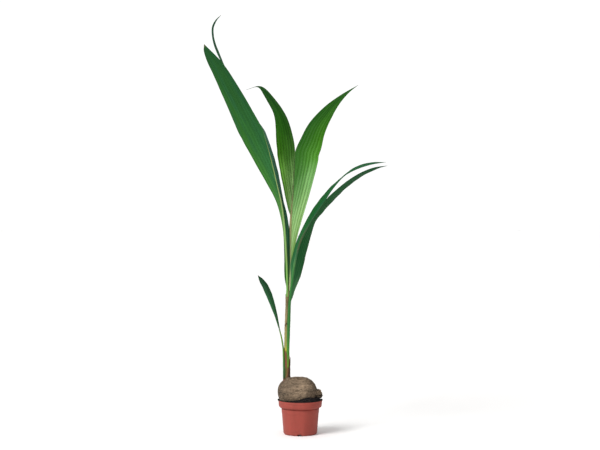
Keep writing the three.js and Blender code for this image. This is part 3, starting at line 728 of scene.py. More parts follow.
def blade_skin(
    name, inner, outer, cool, pale, stripe, reach, rib_side=1.0, far_side=1.0, cool_foot=1.0
):
    """Palm blade: waxy skin with a low sheen. Its colour runs from foot to tip and from its inner
    to its outer margin, with long cooler bands, a thin dry margin and pale ridges near the foot,
    which are partly paler veins and partly painted sheen where the ridges catch the light.
    stripe is how strongly the ridges show at the foot, reach the place where they fade out,
    rib_side and far_side their shares beside the midrib and at the outer margin, and cool_foot
    the share of the cooler bands at the foot."""
    material, tree = new_material(name)
    grain = add_node(tree, "Attribute", output="Vector", attribute_name="grain")
    place = add_node(tree, "Attribute", output="Fac", attribute_name="place")
    pleats = add_node(tree, "SeparateXYZ", [grain], "X")
    across = add_node(tree, "SeparateXYZ", [grain], "Z")
    patch = add_node(tree, "Mapping", {"Vector": grain, "Scale": (0.35, 0.006, 0)})
    drift = add_node(tree, "TexNoise", {"Vector": patch, "Scale": 1.0, "Detail": 3.0})
    moved = add_node(tree, "MapRange", {"Value": drift, "To Min": -0.12, "To Max": 0.12})
    where = add_node(tree, "Math", [place, moved], operation="ADD")
    near = add_node(tree, "ValToRGB", [where], stops=inner)
    far = add_node(tree, "ValToRGB", [where], stops=outer)
    width = {"Value": across, "From Min": 0.1, "From Max": 0.95}
    side = add_node(tree, "MapRange", width, interpolation_type="SMOOTHSTEP")
    ground = add_node(tree, "Mix", {0: side, 6: near, 7: far}, 2, data_type="RGBA")

    band = add_node(tree, "Mapping", {"Vector": grain, "Scale": (0.6, 0.0035, 0)})
    bands = add_node(tree, "TexNoise", {"Vector": band, "Scale": 1.0, "Detail": 3.0, "Roughness": 0.55})
    cooler = add_node(tree, "MapRange", {"Value": bands, "From Min": 0.46, "From Max": 0.62, "To Max": 0.55})
    foot = {"Value": place, "From Min": 0.2, "From Max": 0.5, "To Min": cool_foot}
    banded = add_node(tree, "Math", [cooler, add_node(tree, "MapRange", foot)], operation="MULTIPLY")
    tinted = add_node(tree, "Mix", {0: banded, 6: ground, 7: cool}, 2, data_type="RGBA")

    fade = {"Value": place, "From Min": 0.1, "From Max": reach, "To Min": 1.0, "To Max": 0.08}
    fading = add_node(tree, "MapRange", fade, interpolation_type="SMOOTHSTEP")
    sides = {"Value": across, "From Min": 0.08, "From Max": 0.4, "To Min": rib_side, "To Max": far_side}
    shown = add_node(tree, "Math", [fading, add_node(tree, "MapRange", sides)], operation="MULTIPLY")
    # Pale stripes on the pleat ridges: partly paler veins, partly painted sheen where the ridges face the
    # light.
    turn = add_node(tree, "Math", [pleats, math.tau], operation="MULTIPLY")
    ridge = add_node(tree, "Math", [turn], operation="COSINE")
    strip = add_node(tree, "Mapping", {"Vector": grain, "Scale": (2.6, 0.003, 0)})
    streaks = add_node(tree, "TexNoise", {"Vector": strip, "Scale": 1.0, "Detail": 2.0, "Roughness": 0.6})
    raised = add_node(tree, "MapRange", {"Value": ridge, "From Min": -0.6, "From Max": 1.0, "To Min": 0.2})
    broken = {"Value": streaks, "From Min": 0.4, "From Max": 0.62, "To Min": 0.1, "To Max": stripe}
    stripes = add_node(tree, "Math", [raised, add_node(tree, "MapRange", broken)], operation="MULTIPLY")
    amount = add_node(tree, "Math", [stripes, shown], operation="MULTIPLY")
    striped = add_node(tree, "Mix", {0: amount, 6: tinted, 7: pale}, 2, data_type="RGBA")
    uneven = {"Value": streaks, "From Min": 0.3, "From Max": 0.7, "To Min": 0.86, "To Max": 1.1}
    shade = add_node(tree, "MapRange", uneven)
    body = add_node(tree, "VectorMath", {0: striped, "Scale": shade}, operation="SCALE")

    edge = add_node(tree, "MapRange", {"Value": across, "From Min": 0.985, "From Max": 1.0, "To Max": 0.4})
    end = add_node(tree, "MapRange", {"Value": place, "From Min": 0.985, "From Max": 1.0, "To Max": 0.8})
    dried = add_node(tree, "Math", [edge, end], operation="MAXIMUM")
    base = add_node(tree, "Mix", {0: dried, 6: body, 7: "#5f5b34"}, 2, data_type="RGBA")
    fine = add_node(tree, "Math", [pleats, VEINS_PER_PLEAT * math.tau], operation="MULTIPLY")
    veins = add_node(tree, "Math", [fine], operation="SINE")
    relief = add_node(tree, "Math", [veins, 0.12, streaks], operation="MULTIPLY_ADD")
    rough = add_node(tree, "MapRange", {"Value": streaks, "To Min": 0.42, "To Max": 0.62})
    dress(tree, base, rough, 0.1, 1.42, relief, 0.00012)
    return material


# Pot


def rounded_profile(rows, steps=3):
    """A profile whose corners are rounded by the third number of their row."""
    result = []
    for i, (radius, height, rounding) in enumerate(rows):
        corner = Vector((radius, height))
        if i in (0, len(rows) - 1):
            result.append(corner)
            continue
        to_last = Vector(rows[i - 1][:2]) - corner
        to_next = Vector(rows[i + 1][:2]) - corner
        cut = min(rounding, 0.45 * to_last.length, 0.45 * to_next.length)
        first = corner + to_last.normalized() * cut
        last = corner + to_next.normalized() * cut
        for step in range(steps + 1):
            f = step / steps
            result.append(first.lerp(corner, f).lerp(corner.lerp(last, f), f))
    return result


def cut_away(piece, cutter):
    put_on(piece, "BOOLEAN", operation="DIFFERENCE", solver="EXACT", object=cutter)
    bpy.data.objects.remove(cutter)


def notch_cutter(angle):
    """A wedge with slanting sides that reaches through the ring foot."""
    middle = (FOOT_INSIDE + FOOT_OUTSIDE) / 2
    depth = FOOT_OUTSIDE - FOOT_INSIDE
    cutter = start_piece("notch", bpy.ops.mesh.primitive_cube_add, size=1)
    for vertex in cutter.data.vertices:
        x, y, z = vertex.co
        width, height = (NOTCH_TOP, NOTCH_HEIGHT) if z > 0 else (NOTCH_WIDTH, -1)
        vertex.co = (middle + x * depth, y * width, height)
    cutter.data.transform(Matrix.Rotation(angle, 4, "Z") @ Matrix.Scale(MM, 4))
    return cutter


def drain_cutter(angle):
    hole = {"vertices": 24, "radius": DRAIN_RADIUS * MM, "depth": DRAIN_DEPTH * MM}
    cutter = start_piece("drain", bpy.ops.mesh.primitive_cylinder_add, **hole)
    spot = Vector((DRAIN_RING * math.cos(angle), DRAIN_RING * math.sin(angle), DRAIN_LEVEL)) * MM
    cutter.data.transform(Matrix.Translation(spot))
    return cutter


class PALM_OT_add_pot(bpy.types.Operator):
    """Add the nursery pot with its stepped rim, drainage notches and holes"""

    bl_idname = "palm.add_pot"
    bl_label = "Add Pot"

    def execute(self, context):
        settings = context.scene.palm_pot
        (radius, height), *rest = rounded_profile(POT_PROFILE)
        boss = {"vertices": POT_SIDES, "radius": radius * MM, "fill_type": "NGON"}
        spot = (0, 0, height * MM)
        pot = start_piece("nursery_pot", bpy.ops.mesh.primitive_circle_add, location=spot, **boss)
        bpy.ops.object.transform_apply(location=True, rotation=True, scale=True)
        extrude_edge(radius, rest)
        for i in range(NOTCHES):
            cut_away(pot, notch_cutter(NOTCH_TURN + i * math.tau / NOTCHES))
        for i in range(DRAINS):
            cut_away(pot, drain_cutter(NOTCH_TURN + (i + 0.5) * math.tau / DRAINS))
        sharp = {"limit_method": "ANGLE", "angle_limit": math.radians(50)}
        put_on(pot, "BEVEL", width=settings.bevel, segments=2, **sharp)
        skin = moulded_polypropylene(settings.plastic, settings.dust)
        finish_piece(pot, "pot_plastic", "pot", materials=[skin], angle=40)
        return {"FINISHED"}


# Soil


def soil_level(x, y):
    """Height of the soil's surface, smooth apart from its lumps."""
    away = math.hypot(x, y) / SOIL_RADIUS
    level = mix(SOIL_CROWN, SOIL_EDGE, smooth(0.35, 1.0, away))
    for heap_x, heap_y, heap, spread in SOIL_HEAPS:
        share = math.exp(-(((x - heap_x) ** 2 + (y - heap_y) ** 2) / spread**2))
        level += heap * share * smooth(1.0, 0.82, away)
    lumps = noise.fractal(Vector((x, y, 0)) * 0.09, 0.7, 2.0, 4)
    return level + 2.2 * lumps * (1 - 0.5 * away)


def soil_point(q, s):
    """A point of a disc for a point of a square, and its height."""
    a, b = 2 * q - 1, 2 * s - 1
    x = a * math.sqrt(1 - b * b / 2) * SOIL_RADIUS
    y = b * math.sqrt(1 - a * a / 2) * SOIL_RADIUS
    return (x, y, soil_level(x, y)), (x, y, 0), 0.5


def crumb_places(count, largest):
    """Places, radii and seeds of the crumbs on the soil and at the rim's two ends."""
    chance = random.Random(7)
    places = []
    while len(places) < count:
        angle = chance.uniform(0, math.tau)
        away = SOIL_RADIUS * math.sqrt(chance.uniform(0.05, 1.0))
        size = largest * chance.uniform(0.25, 1.0) ** 2 + 0.5
        away = min(away, SOIL_RADIUS - size)
        x, y = away * math.cos(angle), away * math.sin(angle)
        places.append(((x, y, soil_level(x, y) + 0.2 * size), size, chance.uniform(0, 50)))
    (foot, low), (brow, high) = RIM_SLOPE
    for side in (0.0, math.pi):
        for _ in range(RIM_CRUMBS):
            angle = side + chance.gauss(0, RIM_SPREAD)
            away = chance.uniform(foot, RIM_END)
            size = chance.uniform(1.2, 3.4)
            level = RIM_TOP if away > brow else mix(low, high, (away - foot) / (brow - foot))
            place = (away * math.cos(angle), away * math.sin(angle), level)
            places.append((place, size, chance.uniform(0, 50)))
    return places


class PALM_OT_add_soil(bpy.types.Operator):
    """Add the potting soil that fills the pot, with crumbs on it and on the rim"""

    bl_idname = "palm.add_soil"
    bl_label = "Add Soil"

    def execute(self, context):
        settings = context.scene.palm_soil
        soil = add_surface("potting_mix", 110, 110, soil_point)
        extrude_edge(SOIL_RADIUS, SOIL_WALL)
        skin = potting_mix(settings.damp, settings.fibre)
        finish_piece(soil, "potting_soil", "potting_soil", materials=[skin])
        crumbs = add_crumbs("soil_crumbs", crumb_places(settings.crumbs, settings.crumb / MM))
        finish_piece(crumbs, "potting_soil", materials=[skin])
        return {"FINISHED"}


# Nut


def nut_point(u, angle, lift=0.0):
    """A point on the husk: u runs from -1 to 1 along it and the angle round it."""
    outward = Vector((0, math.cos(angle), math.sin(angle)))
    spot = outward + Vector((u * 1.4, 0, 0))
    ridges = 1 + NUT_RIDGE * math.cos(3 * (angle - math.pi / 2 - NUT_RIDGE_TURN))
    power = mix(NUT_POWER, NUT_LOW_POWER, smooth(0.1, -0.5, math.sin(angle))) if u < 0 else NUT_POWER
    round_share = math.sqrt(max(1 - abs(u) ** power, 0.0))
    dents = 2.4 * noise.noise(spot * 1.7) + 1.1 * noise.noise(spot * 4.3)
    wrinkle = 1 - abs(noise.noise(Vector((u * 2.2, 7 * spot.y, 7 * spot.z)) + Vector((4, 1, 9))))
    furrows = 1.1 * (wrinkle - 0.75) + 0.5 * noise.noise(Vector((u * 4, 19 * spot.y, 19 * spot.z)))
    radius = NUT_RADIUS * round_share * ridges + (dents + furrows) * min(1.0, 2 * round_share) + lift
    flat_end = 1 - 0.02 * round_share
    point = NUT_CENTRE + Vector((u * NUT_HALF_LENGTH * flat_end, 0, 0)) + outward * radius
    away = (point - TORN_RIM).length / TORN_RIM_REACH
    return point + outward * (TORN_RIM_RISE * math.exp(-(away**2)))


def husk_point(q, s):
    u = -math.cos(math.pi * mix(0.012, 0.988, s))
    return nut_point(u, math.tau * q), (0, 0, 0), s


def husk_strands(count, radius, seed, left_end):
    """Loose fibres that lie along the husk and lift a little at their ends."""
    chance = random.Random(seed)
    strands = []
    for _ in range(count):
        u = chance.uniform(left_end, 0.88)
        angle = chance.uniform(-0.7, math.pi + 0.7)
        reach = chance.uniform(0.08, 0.34)
        drift = chance.gauss(0, 0.09)
        lift = chance.uniform(0.6, 3.4) * chance.random()
        points = []
        for i in range(7):
            f = i / 6
            place = min(max(u + reach * (f - 0.5), -0.985), 0.985)
            sway = 0.03 * math.sin(5 * f + 9 * u)
            rise = 0.35 + lift * (2 * f - 1) ** 2 * (1 if f > 0.5 else 0.4)
            points.append(nut_point(place, angle + drift * f + sway, rise))
        coarse = 1 + 2.2 * smooth(0.9, 1.0, chance.random())
        strands.append((radius * coarse * chance.uniform(0.6, 1.15), points))
    return strands


def tuft_strands(line, count, radius, seed, swell):
    """Broken fibres that stand out of the husk's frayed end."""
    chance = random.Random(seed)
    strands = []
    for _ in range(count):
        start = chance.uniform(0.0, 0.72)
        angle = chance.uniform(0, math.tau)
        reach = chance.uniform(0.16, 0.4)
        flare = chance.uniform(-0.25, 0.4)
        points = []
        for i in range(6):
            t = start + reach * i / 5
            point, ahead, left, back, wide = line.at(t)
            spread = wide * (swell + flare * (i / 5) ** 2)
            twist = angle + 0.3 * math.sin(3 * t + angle)
            aside = left * (math.cos(twist) * spread) + back * (math.sin(twist) * spread)
            points.append(point + ahead * (max(t - 1, 0) * line.length) + aside)
        strands.append((radius * chance.uniform(0.9, 2.4), points))
    return strands


def tube_place(line, swell=0.0, relief=0.0, channel=None, rooted=0.0):
    """How a grid wraps round a line. channel is the way that a groove faces, in degrees from the
    viewer's left towards the back, and its depth at the foot and the tip as a share of the
    radius, and rooted is the share of the line below its foot."""

    def place(q, t):
        point, _, left, back, radius = line.at(t)
        angle = math.tau * q
        side, rear = math.cos(angle), math.sin(angle)
        reach = radius + swell
        if channel is not None:
            degrees, foot, tip = channel
            off = angle - math.radians(degrees)
            off = math.atan2(math.sin(off), math.cos(off))
            reach *= 1 - mix(foot, tip, t) * math.exp(-((off / GROOVE_WIDTH) ** 2))
        if relief:
            reach += relief * noise.noise(Vector((3 * side, 3 * rear, t * line.length * 0.06)))
        position = point + left * (side * reach) + back * (rear * reach)
        share = max((t - rooted) / (1 - rooted), 0.0)
        return position, (side * reach, rear * reach, t * line.length), share

    return place


class PALM_OT_add_nut(bpy.types.Operator):
    """Add the coconut in its fibrous husk, with loose fibres and a frayed end"""

    bl_idname = "palm.add_nut"
    bl_label = "Add Nut"

    def execute(self, context):
        settings = context.scene.palm_nut
        light, dark, count, radius = settings.light, settings.dark, settings.fibres, settings.fibre
        husk = add_surface("nut_husk", 190, 110, husk_point)
        close_tube()
        finish_piece(husk, "coconut_husk", "coconut_husk", materials=[coir_husk(light, dark)])
        loose = coir_fibre("loose coir", scaled(light, 0.95), scaled(dark, 0.9))
        fibres = add_strands("husk_fibres", husk_strands(count, radius, 11, -0.93))
        finish_piece(fibres, "husk_fibre", materials=[loose])
        shade = coir_fibre("shaded coir", scaled(dark, 0.8), scaled(dark, 0.35))
        splits = add_strands("husk_splits", husk_strands(count // 9, 1.2 * radius, 44, -0.6))
        finish_piece(splits, "husk_fibre", materials=[shade])
        line = Line(sampled(TUFT), 40)
        core = add_surface("tuft_core", 90, 60, tube_place(line, swell=-3.5, relief=9.0))
        close_tube()
        finish_piece(core, "husk_fibre", "husk_tuft", materials=[shade])
        # Painted shade: with damp=0.3 the tuft's frayed and pale fibres darken to 0.3 of their colour near
        # the soil.
        frayed = coir_fibre("frayed coir", scaled(light, 0.7), scaled(dark, 0.45), damp=0.3)
        bundles = add_strands("tuft_bundles", tuft_strands(line, TUFT_BUNDLES, 3 * radius, 47, 0.8))
        finish_piece(bundles, "husk_fibre", materials=[frayed])
        pale = coir_fibre("pale coir", scaled(light, 1.1), scaled(light, 0.4), damp=0.3)
        ends = add_strands("tuft_fibres", tuft_strands(line, count // 2, radius, 23, 0.95))
        finish_piece(ends, "husk_fibre", materials=[pale])
        return {"FINISHED"}


# Stem

STEM_ROWS = sampled(STEM)


def stem_at(z):
    """The stem's middle and radius at a height."""
    i = 1
    while i < len(STEM_ROWS) - 1 and STEM_ROWS[i][2] < z:
        i += 1
    low, high = STEM_ROWS[i - 1], STEM_ROWS[i]
    f = min(max((z - low[2]) / (high[2] - low[2]), 0.0), 1.0)
    x, y, _, radius = (mix(a, b, f) for a, b in zip(low, high))
    return x, y, radius


def sheath_place(sheath, seed):
    """A sheath wrapped round the stem, torn at its top. Its rows give the height low and high and
    the angles that it covers there, from the viewer's right towards the back."""
    low, high, lift, flare, slant = sheath["span"]

    def place(q, s):
        torn = 9 * noise.noise(Vector((7 * q + seed, 0.5, 0))) + 4 * noise.noise(Vector((23 * q, seed, 0)))
        z = mix(low, high + torn + slant * (q - 0.5), s)
        x, y, radius = stem_at(z)
        start, end = along(sheath["angles"], s)
        angle = math.radians(mix(start, end, q))
        edge = min(q, 1 - q)
        ripple = 0.5 * noise.noise(Vector((5 * q, s * 9 + seed, 1))) * (1 + 2 * smooth(0.15, 0.0, edge))
        stand = mix(SHEATH_TUCK, lift + ripple, smooth(0.0, 0.06, s))
        out = radius + stand + flare * smooth(0.75, 1.0, s)
        position = (x + out * math.cos(angle), y + out * math.sin(angle), z)
        return position, (q * math.radians(end - start) * radius, 0, z - low), s

    return place


def scale_point(q, s):
    z, start, end = along(SCALE_LEAF, s)
    torn = 6 * noise.noise(Vector((6 * q, 4.2, 0))) * smooth(0.6, 1.0, s)
    x, y, _, radius = min(STEM_ROWS, key=lambda row: abs(row[2] - z))
    angle = math.radians(mix(start, end, q))
    ripple = 0.5 * noise.noise(Vector((6 * q, 8 * s, 2)))
    out = radius + SCALE_LIFT + ripple + 1.0 * smooth(0.6, 1.0, s)
    position = (x + out * math.cos(angle), y + out * math.sin(angle), z + torn)
    return position, (q * 30, 0, z - SCALE_LEAF[0][0]), s


def add_wrap(name, slot, columns, stations, place, wall, skin, *nodes):
    """A sheath or scale leaf as a thin sheet round the stem."""
    wrap = add_surface(name, columns, stations, place)
    put_on(wrap, "SOLIDIFY", thickness=wall, offset=0)
    finish_piece(wrap, slot, *nodes, materials=[skin])


class PALM_OT_add_stem(bpy.types.Operator):
    """Add the stem of leaf sheaths with its papery outer sheath and dead scale leaf"""

    bl_idname = "palm.add_stem"
    bl_label = "Add Stem"

    def execute(self, context):
        settings = context.scene.palm_stem
        wall = settings.sheath_wall
        living = [(0.0, "#4a3322"), (0.1, settings.red), (0.26, "#7f5430"), (0.36, "#a39a3c")]
        living += [(0.44, "#a8a050"), (0.6, "#8f8d58"), (0.93, "#7a7048"), (1.0, "#76804c")]
        green_side = ("#6a9a48", 0.5, 2.5, 2.0)
        skin = plant_skin("living sheath", living, "#5c6a2c", 0.5, 0.55, 0.0005, green_side)
        column = add_surface("stem_column", 40, 120, tube_place(Line(STEM_ROWS), relief=0.7))
        close_tube()
        finish_piece(column, "leaf_sheath", "stem", materials=[skin])
        papery = [(0.0, "#6f6340"), (0.3, settings.paper), (0.65, "#75694a"), (0.85, "#64543a")]
        papery += [(0.97, "#7c6c4c"), (1.0, "#5c4630")]
        skin = plant_skin("dry papery sheath", papery, "#55562a", 0.8, 0.75, 0.0006)
        add_wrap("upper_sheath", "leaf_sheath", 60, 80, sheath_place(UPPER_SHEATH, 3.0), wall, skin)
        yellowed = [(0.0, "#8c8a1c"), (0.1, "#9c9c3a"), (0.24, "#8c8c4a"), (0.7, "#8c8650")]
        yellowed += [(0.93, "#7a6a44"), (0.97, "#2f2216")]
        skin = plant_skin("yellowed sheath", yellowed, "#6a5228", 0.75, 0.7, 0.0006)
        add_wrap("middle_sheath", "leaf_sheath", 60, 80, sheath_place(MIDDLE_SHEATH, 5.0), wall, skin)
        red = [(0.0, scaled(settings.red, 0.8)), (0.5, settings.red), (1.0, "#6f4a2c")]
        olive_side = ("#545322", 31.0, 27.0, 0.5)
        skin = plant_skin("red-brown sheath", red, "#3f3222", 0.6, 0.65, 0.0005, olive_side)
        add_wrap("lower_sheath", "leaf_sheath", 60, 60, sheath_place(LOWER_SHEATH, 8.0), wall, skin)
        dead = [(0.0, scaled(settings.scale, 0.8)), (0.6, settings.scale), (1.0, "#4f3826")]
        skin = plant_skin("dead scale leaf", dead, "#6a4a34", 0.6, 0.85, 0.0008)
        add_wrap("scale_leaf", "scale_leaf", 50, 60, scale_point, SCALE_WALL * MM, skin, "base_scale_leaf")
        return {"FINISHED"}


# Leaves


def blade_place(path, rows, side, start, pleat, depth, wave, seed, foot):
    """How a grid becomes a half blade. side is 1 to the viewer's left of its line and -1 to its
    right, start the share of the path below the blade, and foot where its own colours start."""
    line = Line(path)
    widest = max(row[1] for row in rows)
    count = widest / pleat
    reached = []
    for i in range(BLADE_STATIONS + 1):
        width = profile(rows, mix(start, 1, i / BLADE_STATIONS))[0]
        reached.append(max([width] + reached[-1:]))

    def place(q, s):
        t = mix(start, 1, s)
        point, ahead, left, back, radius = line.at(t, reach=9)
        width, turn = profile(rows, t)
        width += MARGIN * smooth(0, 15, width)
        width = mix(0.8 * max(radius, 0.5), max(width, 0.4), smooth(-0.01, 0.035, s))
        grown = reached[min(round(s * BLADE_STATIONS), BLADE_STATIONS)] / widest
        pleats = (1 - q) * count * grown**0.6
        across = left * (side * math.cos(math.radians(turn))) + back * math.sin(math.radians(turn))
        front = ahead.cross(across) * side
        local = width / max(count * grown**0.6, 0.5)
        deep = depth / 2 * mix(0.2, 1.0, smooth(0.15, 0.5, t)) * mix(1.0, 0.4, smooth(0.4, 0.75, t))
        height = min(deep, STEEPEST_PLEAT * local) * math.cos(math.tau * pleats)
        height *= smooth(0.0, 0.06, q) * mix(0.45, 1.0, smooth(1.0, 0.93, q))
        arch = BLADE_ARCH * width * (1 - (2 * q - 1) ** 2)
        sway = noise.noise(Vector((seed, t * line.length * 0.012, 0)))
        sway += 0.5 * noise.noise(Vector((seed + 5, t * line.length * 0.03, q)))
        height += arch + wave * q * q * sway * smooth(0, 30, width)
        position = point + across * (q * width) + front * height
        return position, (pleats, t * line.length, q), mix(foot, 1, s)

    return place


def add_half(
    name, slot, node, skins, path, rows, side, start, seed, pleat=1.0, depth=1.0, wave=2.0, foot=0.0
):
    """One half of a leaf as a thin pleated sheet with the skins of its two sides. pleat and depth
    are shares of the pleats' width and depth in the settings."""
    settings = bpy.context.scene.palm_leaf
    pleat = settings.pleat / MM * pleat
    depth = settings.pleat_depth / MM * depth
    place = blade_place(path, rows, side, start, pleat, depth, wave, seed, foot)
    half = add_surface(name, BLADE_COLUMNS, BLADE_STATIONS, place)
    if side == 1:
        half.data.flip_normals()
    for skin in skins:
        half.data.materials.append(skin)
    put_on(half, "SOLIDIFY", thickness=settings.thickness, offset=0, material_offset=1)
    finish_piece(half, slot, node)


def add_stalk(name, node, rows, skin, channel, root=None):
    """A stalk with its midrib. root is where it starts inside the stem, below its own foot."""
    line = Line(sampled(rows))
    rooted = 0.0
    if root is not None:
        below = apart(root, rows[0])
        rooted = below / (below + line.length)
        line = Line([root] + sampled(rows))
    place = tube_place(line, relief=0.25, channel=channel, rooted=rooted)
    stalk = add_surface(name, STALK_SIDES, STALK_STATIONS, place)
    close_tube()
    finish_piece(stalk, "leaf_stalk", node, materials=[skin])


class PALM_OT_add_small_leaf(bpy.types.Operator):
    """Add the narrow leaf low on the left"""

    bl_idname = "palm.add_small_leaf"
    bl_label = "Add Small Leaf"

    def execute(self, context):
        stalk = [(0.0, "#8a5c50"), (0.055, "#6e4a3a"), (0.075, "#1c3018"), (0.11, "#2a4a24")]
        stalk += [(0.3, "#34602c"), (0.5, "#4a7424"), (0.88, "#5f8428"), (1.0, "#1d4a27")]
        skin = plant_skin("small leaf stalk", stalk, "#27481c", 0.4, 0.5, 0.0003)
        add_stalk("small_stalk", "small_leaf_stalk", SMALL_STALK, skin, (90, 0.2, 0.3))
        inner = [(0.0, "#123a20"), (0.4, "#1a4a27"), (1.0, "#1d3d21")]
        outer = [(0.0, "#17402a"), (0.5, "#255a34"), (1.0, "#1d3d21")]
        cool, pale = "#1c4a34", "#4c7a4a"
        under = blade_skin("small leaf underside", inner, outer, cool, pale, 0.35, 0.8)
        upper = blade_skin("small leaf upper side", inner, inner, cool, pale, 0.3, 0.8)
        for side, word, seed in ((1, "left", 3.0), (-1, "right", 6.0)):
            add_half(
                f"small_blade_{word}", "leaf_blade_dark", "small_leaf_blade", [under, upper],
                SMALL_BLADE_PATH, SMALL_BLADE_WIDTHS, side, 0.0, seed, pleat=0.55, depth=0.6, wave=1.0,
            )
        green = [(0.0, "#2f5a2c"), (0.3, "#1d4a27"), (1.0, "#1d3d21")]
        skin = plant_skin("small leaf midrib", green, "#27481c", 0.3, 0.5, 0.0003)
        rib = add_surface("small_midrib", 12, 80, tube_place(Line(SMALL_BLADE_PATH)))
        close_tube()
        finish_piece(rib, "leaf_blade_dark", materials=[skin])
        return {"FINISHED"}


class PALM_OT_add_right_leaf(bpy.types.Operator):
    """Add the dark leaf that arches to the right"""

    bl_idname = "palm.add_right_leaf"
    bl_label = "Add Right Leaf"

    def execute(self, context):
        settings = context.scene.palm_leaf
        stalk = [(0.0, "#5a7a14"), (0.08, "#3a761a"), (0.2, settings.deep_stalk), (0.5, "#246a2a")]
        stalk += [(0.57, "#42703a"), (0.63, "#2a5a34"), (0.7, "#45472a"), (0.82, "#244c2c")]
        stalk += [(1.0, "#16451f")]
        skin = plant_skin("right leaf stalk", stalk, "#1d5426", 0.5, 0.45, 0.0003)
        add_stalk("right_stalk", "right_leaf_stalk", RIGHT_STALK, skin, (90, 0.3, 0.5), RIGHT_ROOT)
        tip = [(0.45, settings.right), (1.0, settings.right_tip)]
        inner = [(0.0, "#1c5a2c"), (0.2, "#165024")] + tip
        outer = [(0.0, "#3c6c44"), (0.1, "#3a6840"), (0.15, "#20542c"), (0.22, settings.right_foot)] + tip
        cool, pale = "#164a30", "#4a7a50"
        under = blade_skin("right leaf underside", inner, outer, cool, pale, 0.4, 0.5)
        shaded = "right leaf shaded underside"
        low_under = blade_skin(shaded, outer, outer, "#04401c", "#3a6a40", 0.4, 0.6)
        upper = blade_skin("right leaf upper side", outer, inner, cool, pale, 0.35, 0.6)
        rib = RIGHT_STALK[RIGHT_LEAF_FOOT:]
        add_half(
            "right_upper_blade", "leaf_blade_dark", "right_leaf_upper_half", [under, upper],
            lobe_path(rib, RIGHT_UPPER_LOBE), RIGHT_UPPER_WIDTHS, 1, 0.07, 11.0, pleat=0.8,
        )
        add_half(
            "right_lower_blade", "leaf_blade_dark", "right_leaf_lower_half", [low_under, upper],
            lobe_path(rib, RIGHT_LOWER_LOBE), RIGHT_LOWER_WIDTHS, -1, 0.004, 15.0, pleat=0.8, wave=2.5,
        )
        return {"FINISHED"}


class PALM_OT_add_left_leaf(bpy.types.Operator):
    """Add the tallest leaf, which leans to the left"""

    bl_idname = "palm.add_left_leaf"
    bl_label = "Add Left Leaf"

    def execute(self, context):
        settings = context.scene.palm_leaf
        stalk = [(0.0, "#6a9a48"), (0.1, "#709e4c"), (0.2, settings.stalk), (0.35, "#78a058")]
        stalk += [(0.55, "#7c945a"), (0.8, "#7c9052"), (1.0, "#3f6a2c")]
        skin = plant_skin("left leaf stalk", stalk, "#5a7f38", 0.35, 0.45, 0.0003)
        add_stalk("left_stalk", "left_leaf_stalk", LEFT_STALK, skin, (60, 0.3, 0.4), LEFT_ROOT)
        foot = [(0.0, "#12420c"), (0.17, "#1a4c14"), (0.24, settings.left_foot)]
        tip = [(1.0, settings.left_tip)]
        inner = foot + [(0.29, "#4f803c"), (0.34, "#2f6834"), (0.5, "#285f30"), (0.8, "#1f4e22")] + tip
        outer = foot + [(0.29, "#467832"), (0.4, "#366c28"), (0.6, settings.left)] + tip
        # Painted shade: the back half, which turns away behind the stalk, has darker blue-greens on the side
        # facing the viewer.
        folded_in_shade = [(0.0, "#2a5a2c"), (0.12, "#022818"), (0.22, "#042f1d"), (0.28, "#12442e")]
        folded_in_shade += [(0.36, "#2f6c54"), (0.52, "#357050"), (0.7, "#2a603a")] + tip
        pale = "#5f8f4c"
        under = blade_skin("left leaf underside", inner, outer, "#1f5030", pale, 0.35, 0.6)
        shaded = blade_skin("left leaf shaded side", folded_in_shade, folded_in_shade, "#1d5a4a", pale, 0.3, 0.6)
        upper = blade_skin("left leaf upper side", outer, inner, "#1c4c34", pale, 0.35, 0.6)
        add_half(
            "left_front_blade", "leaf_blade_green", "left_leaf_front_half", [under, upper],
            lobe_path(LEFT_STALK, LEFT_FRONT_LOBE), LEFT_FRONT_WIDTHS, 1, 0.006, 21.0, depth=0.7,
        )
        add_half(
            "left_back_blade", "leaf_blade_green", "left_leaf_back_half", [shaded, shaded],
            lobe_path(LEFT_STALK, LEFT_BACK_LOBE), LEFT_BACK_WIDTHS, -1, 0.006, 27.0, depth=0.7,
        )
        return {"FINISHED"}


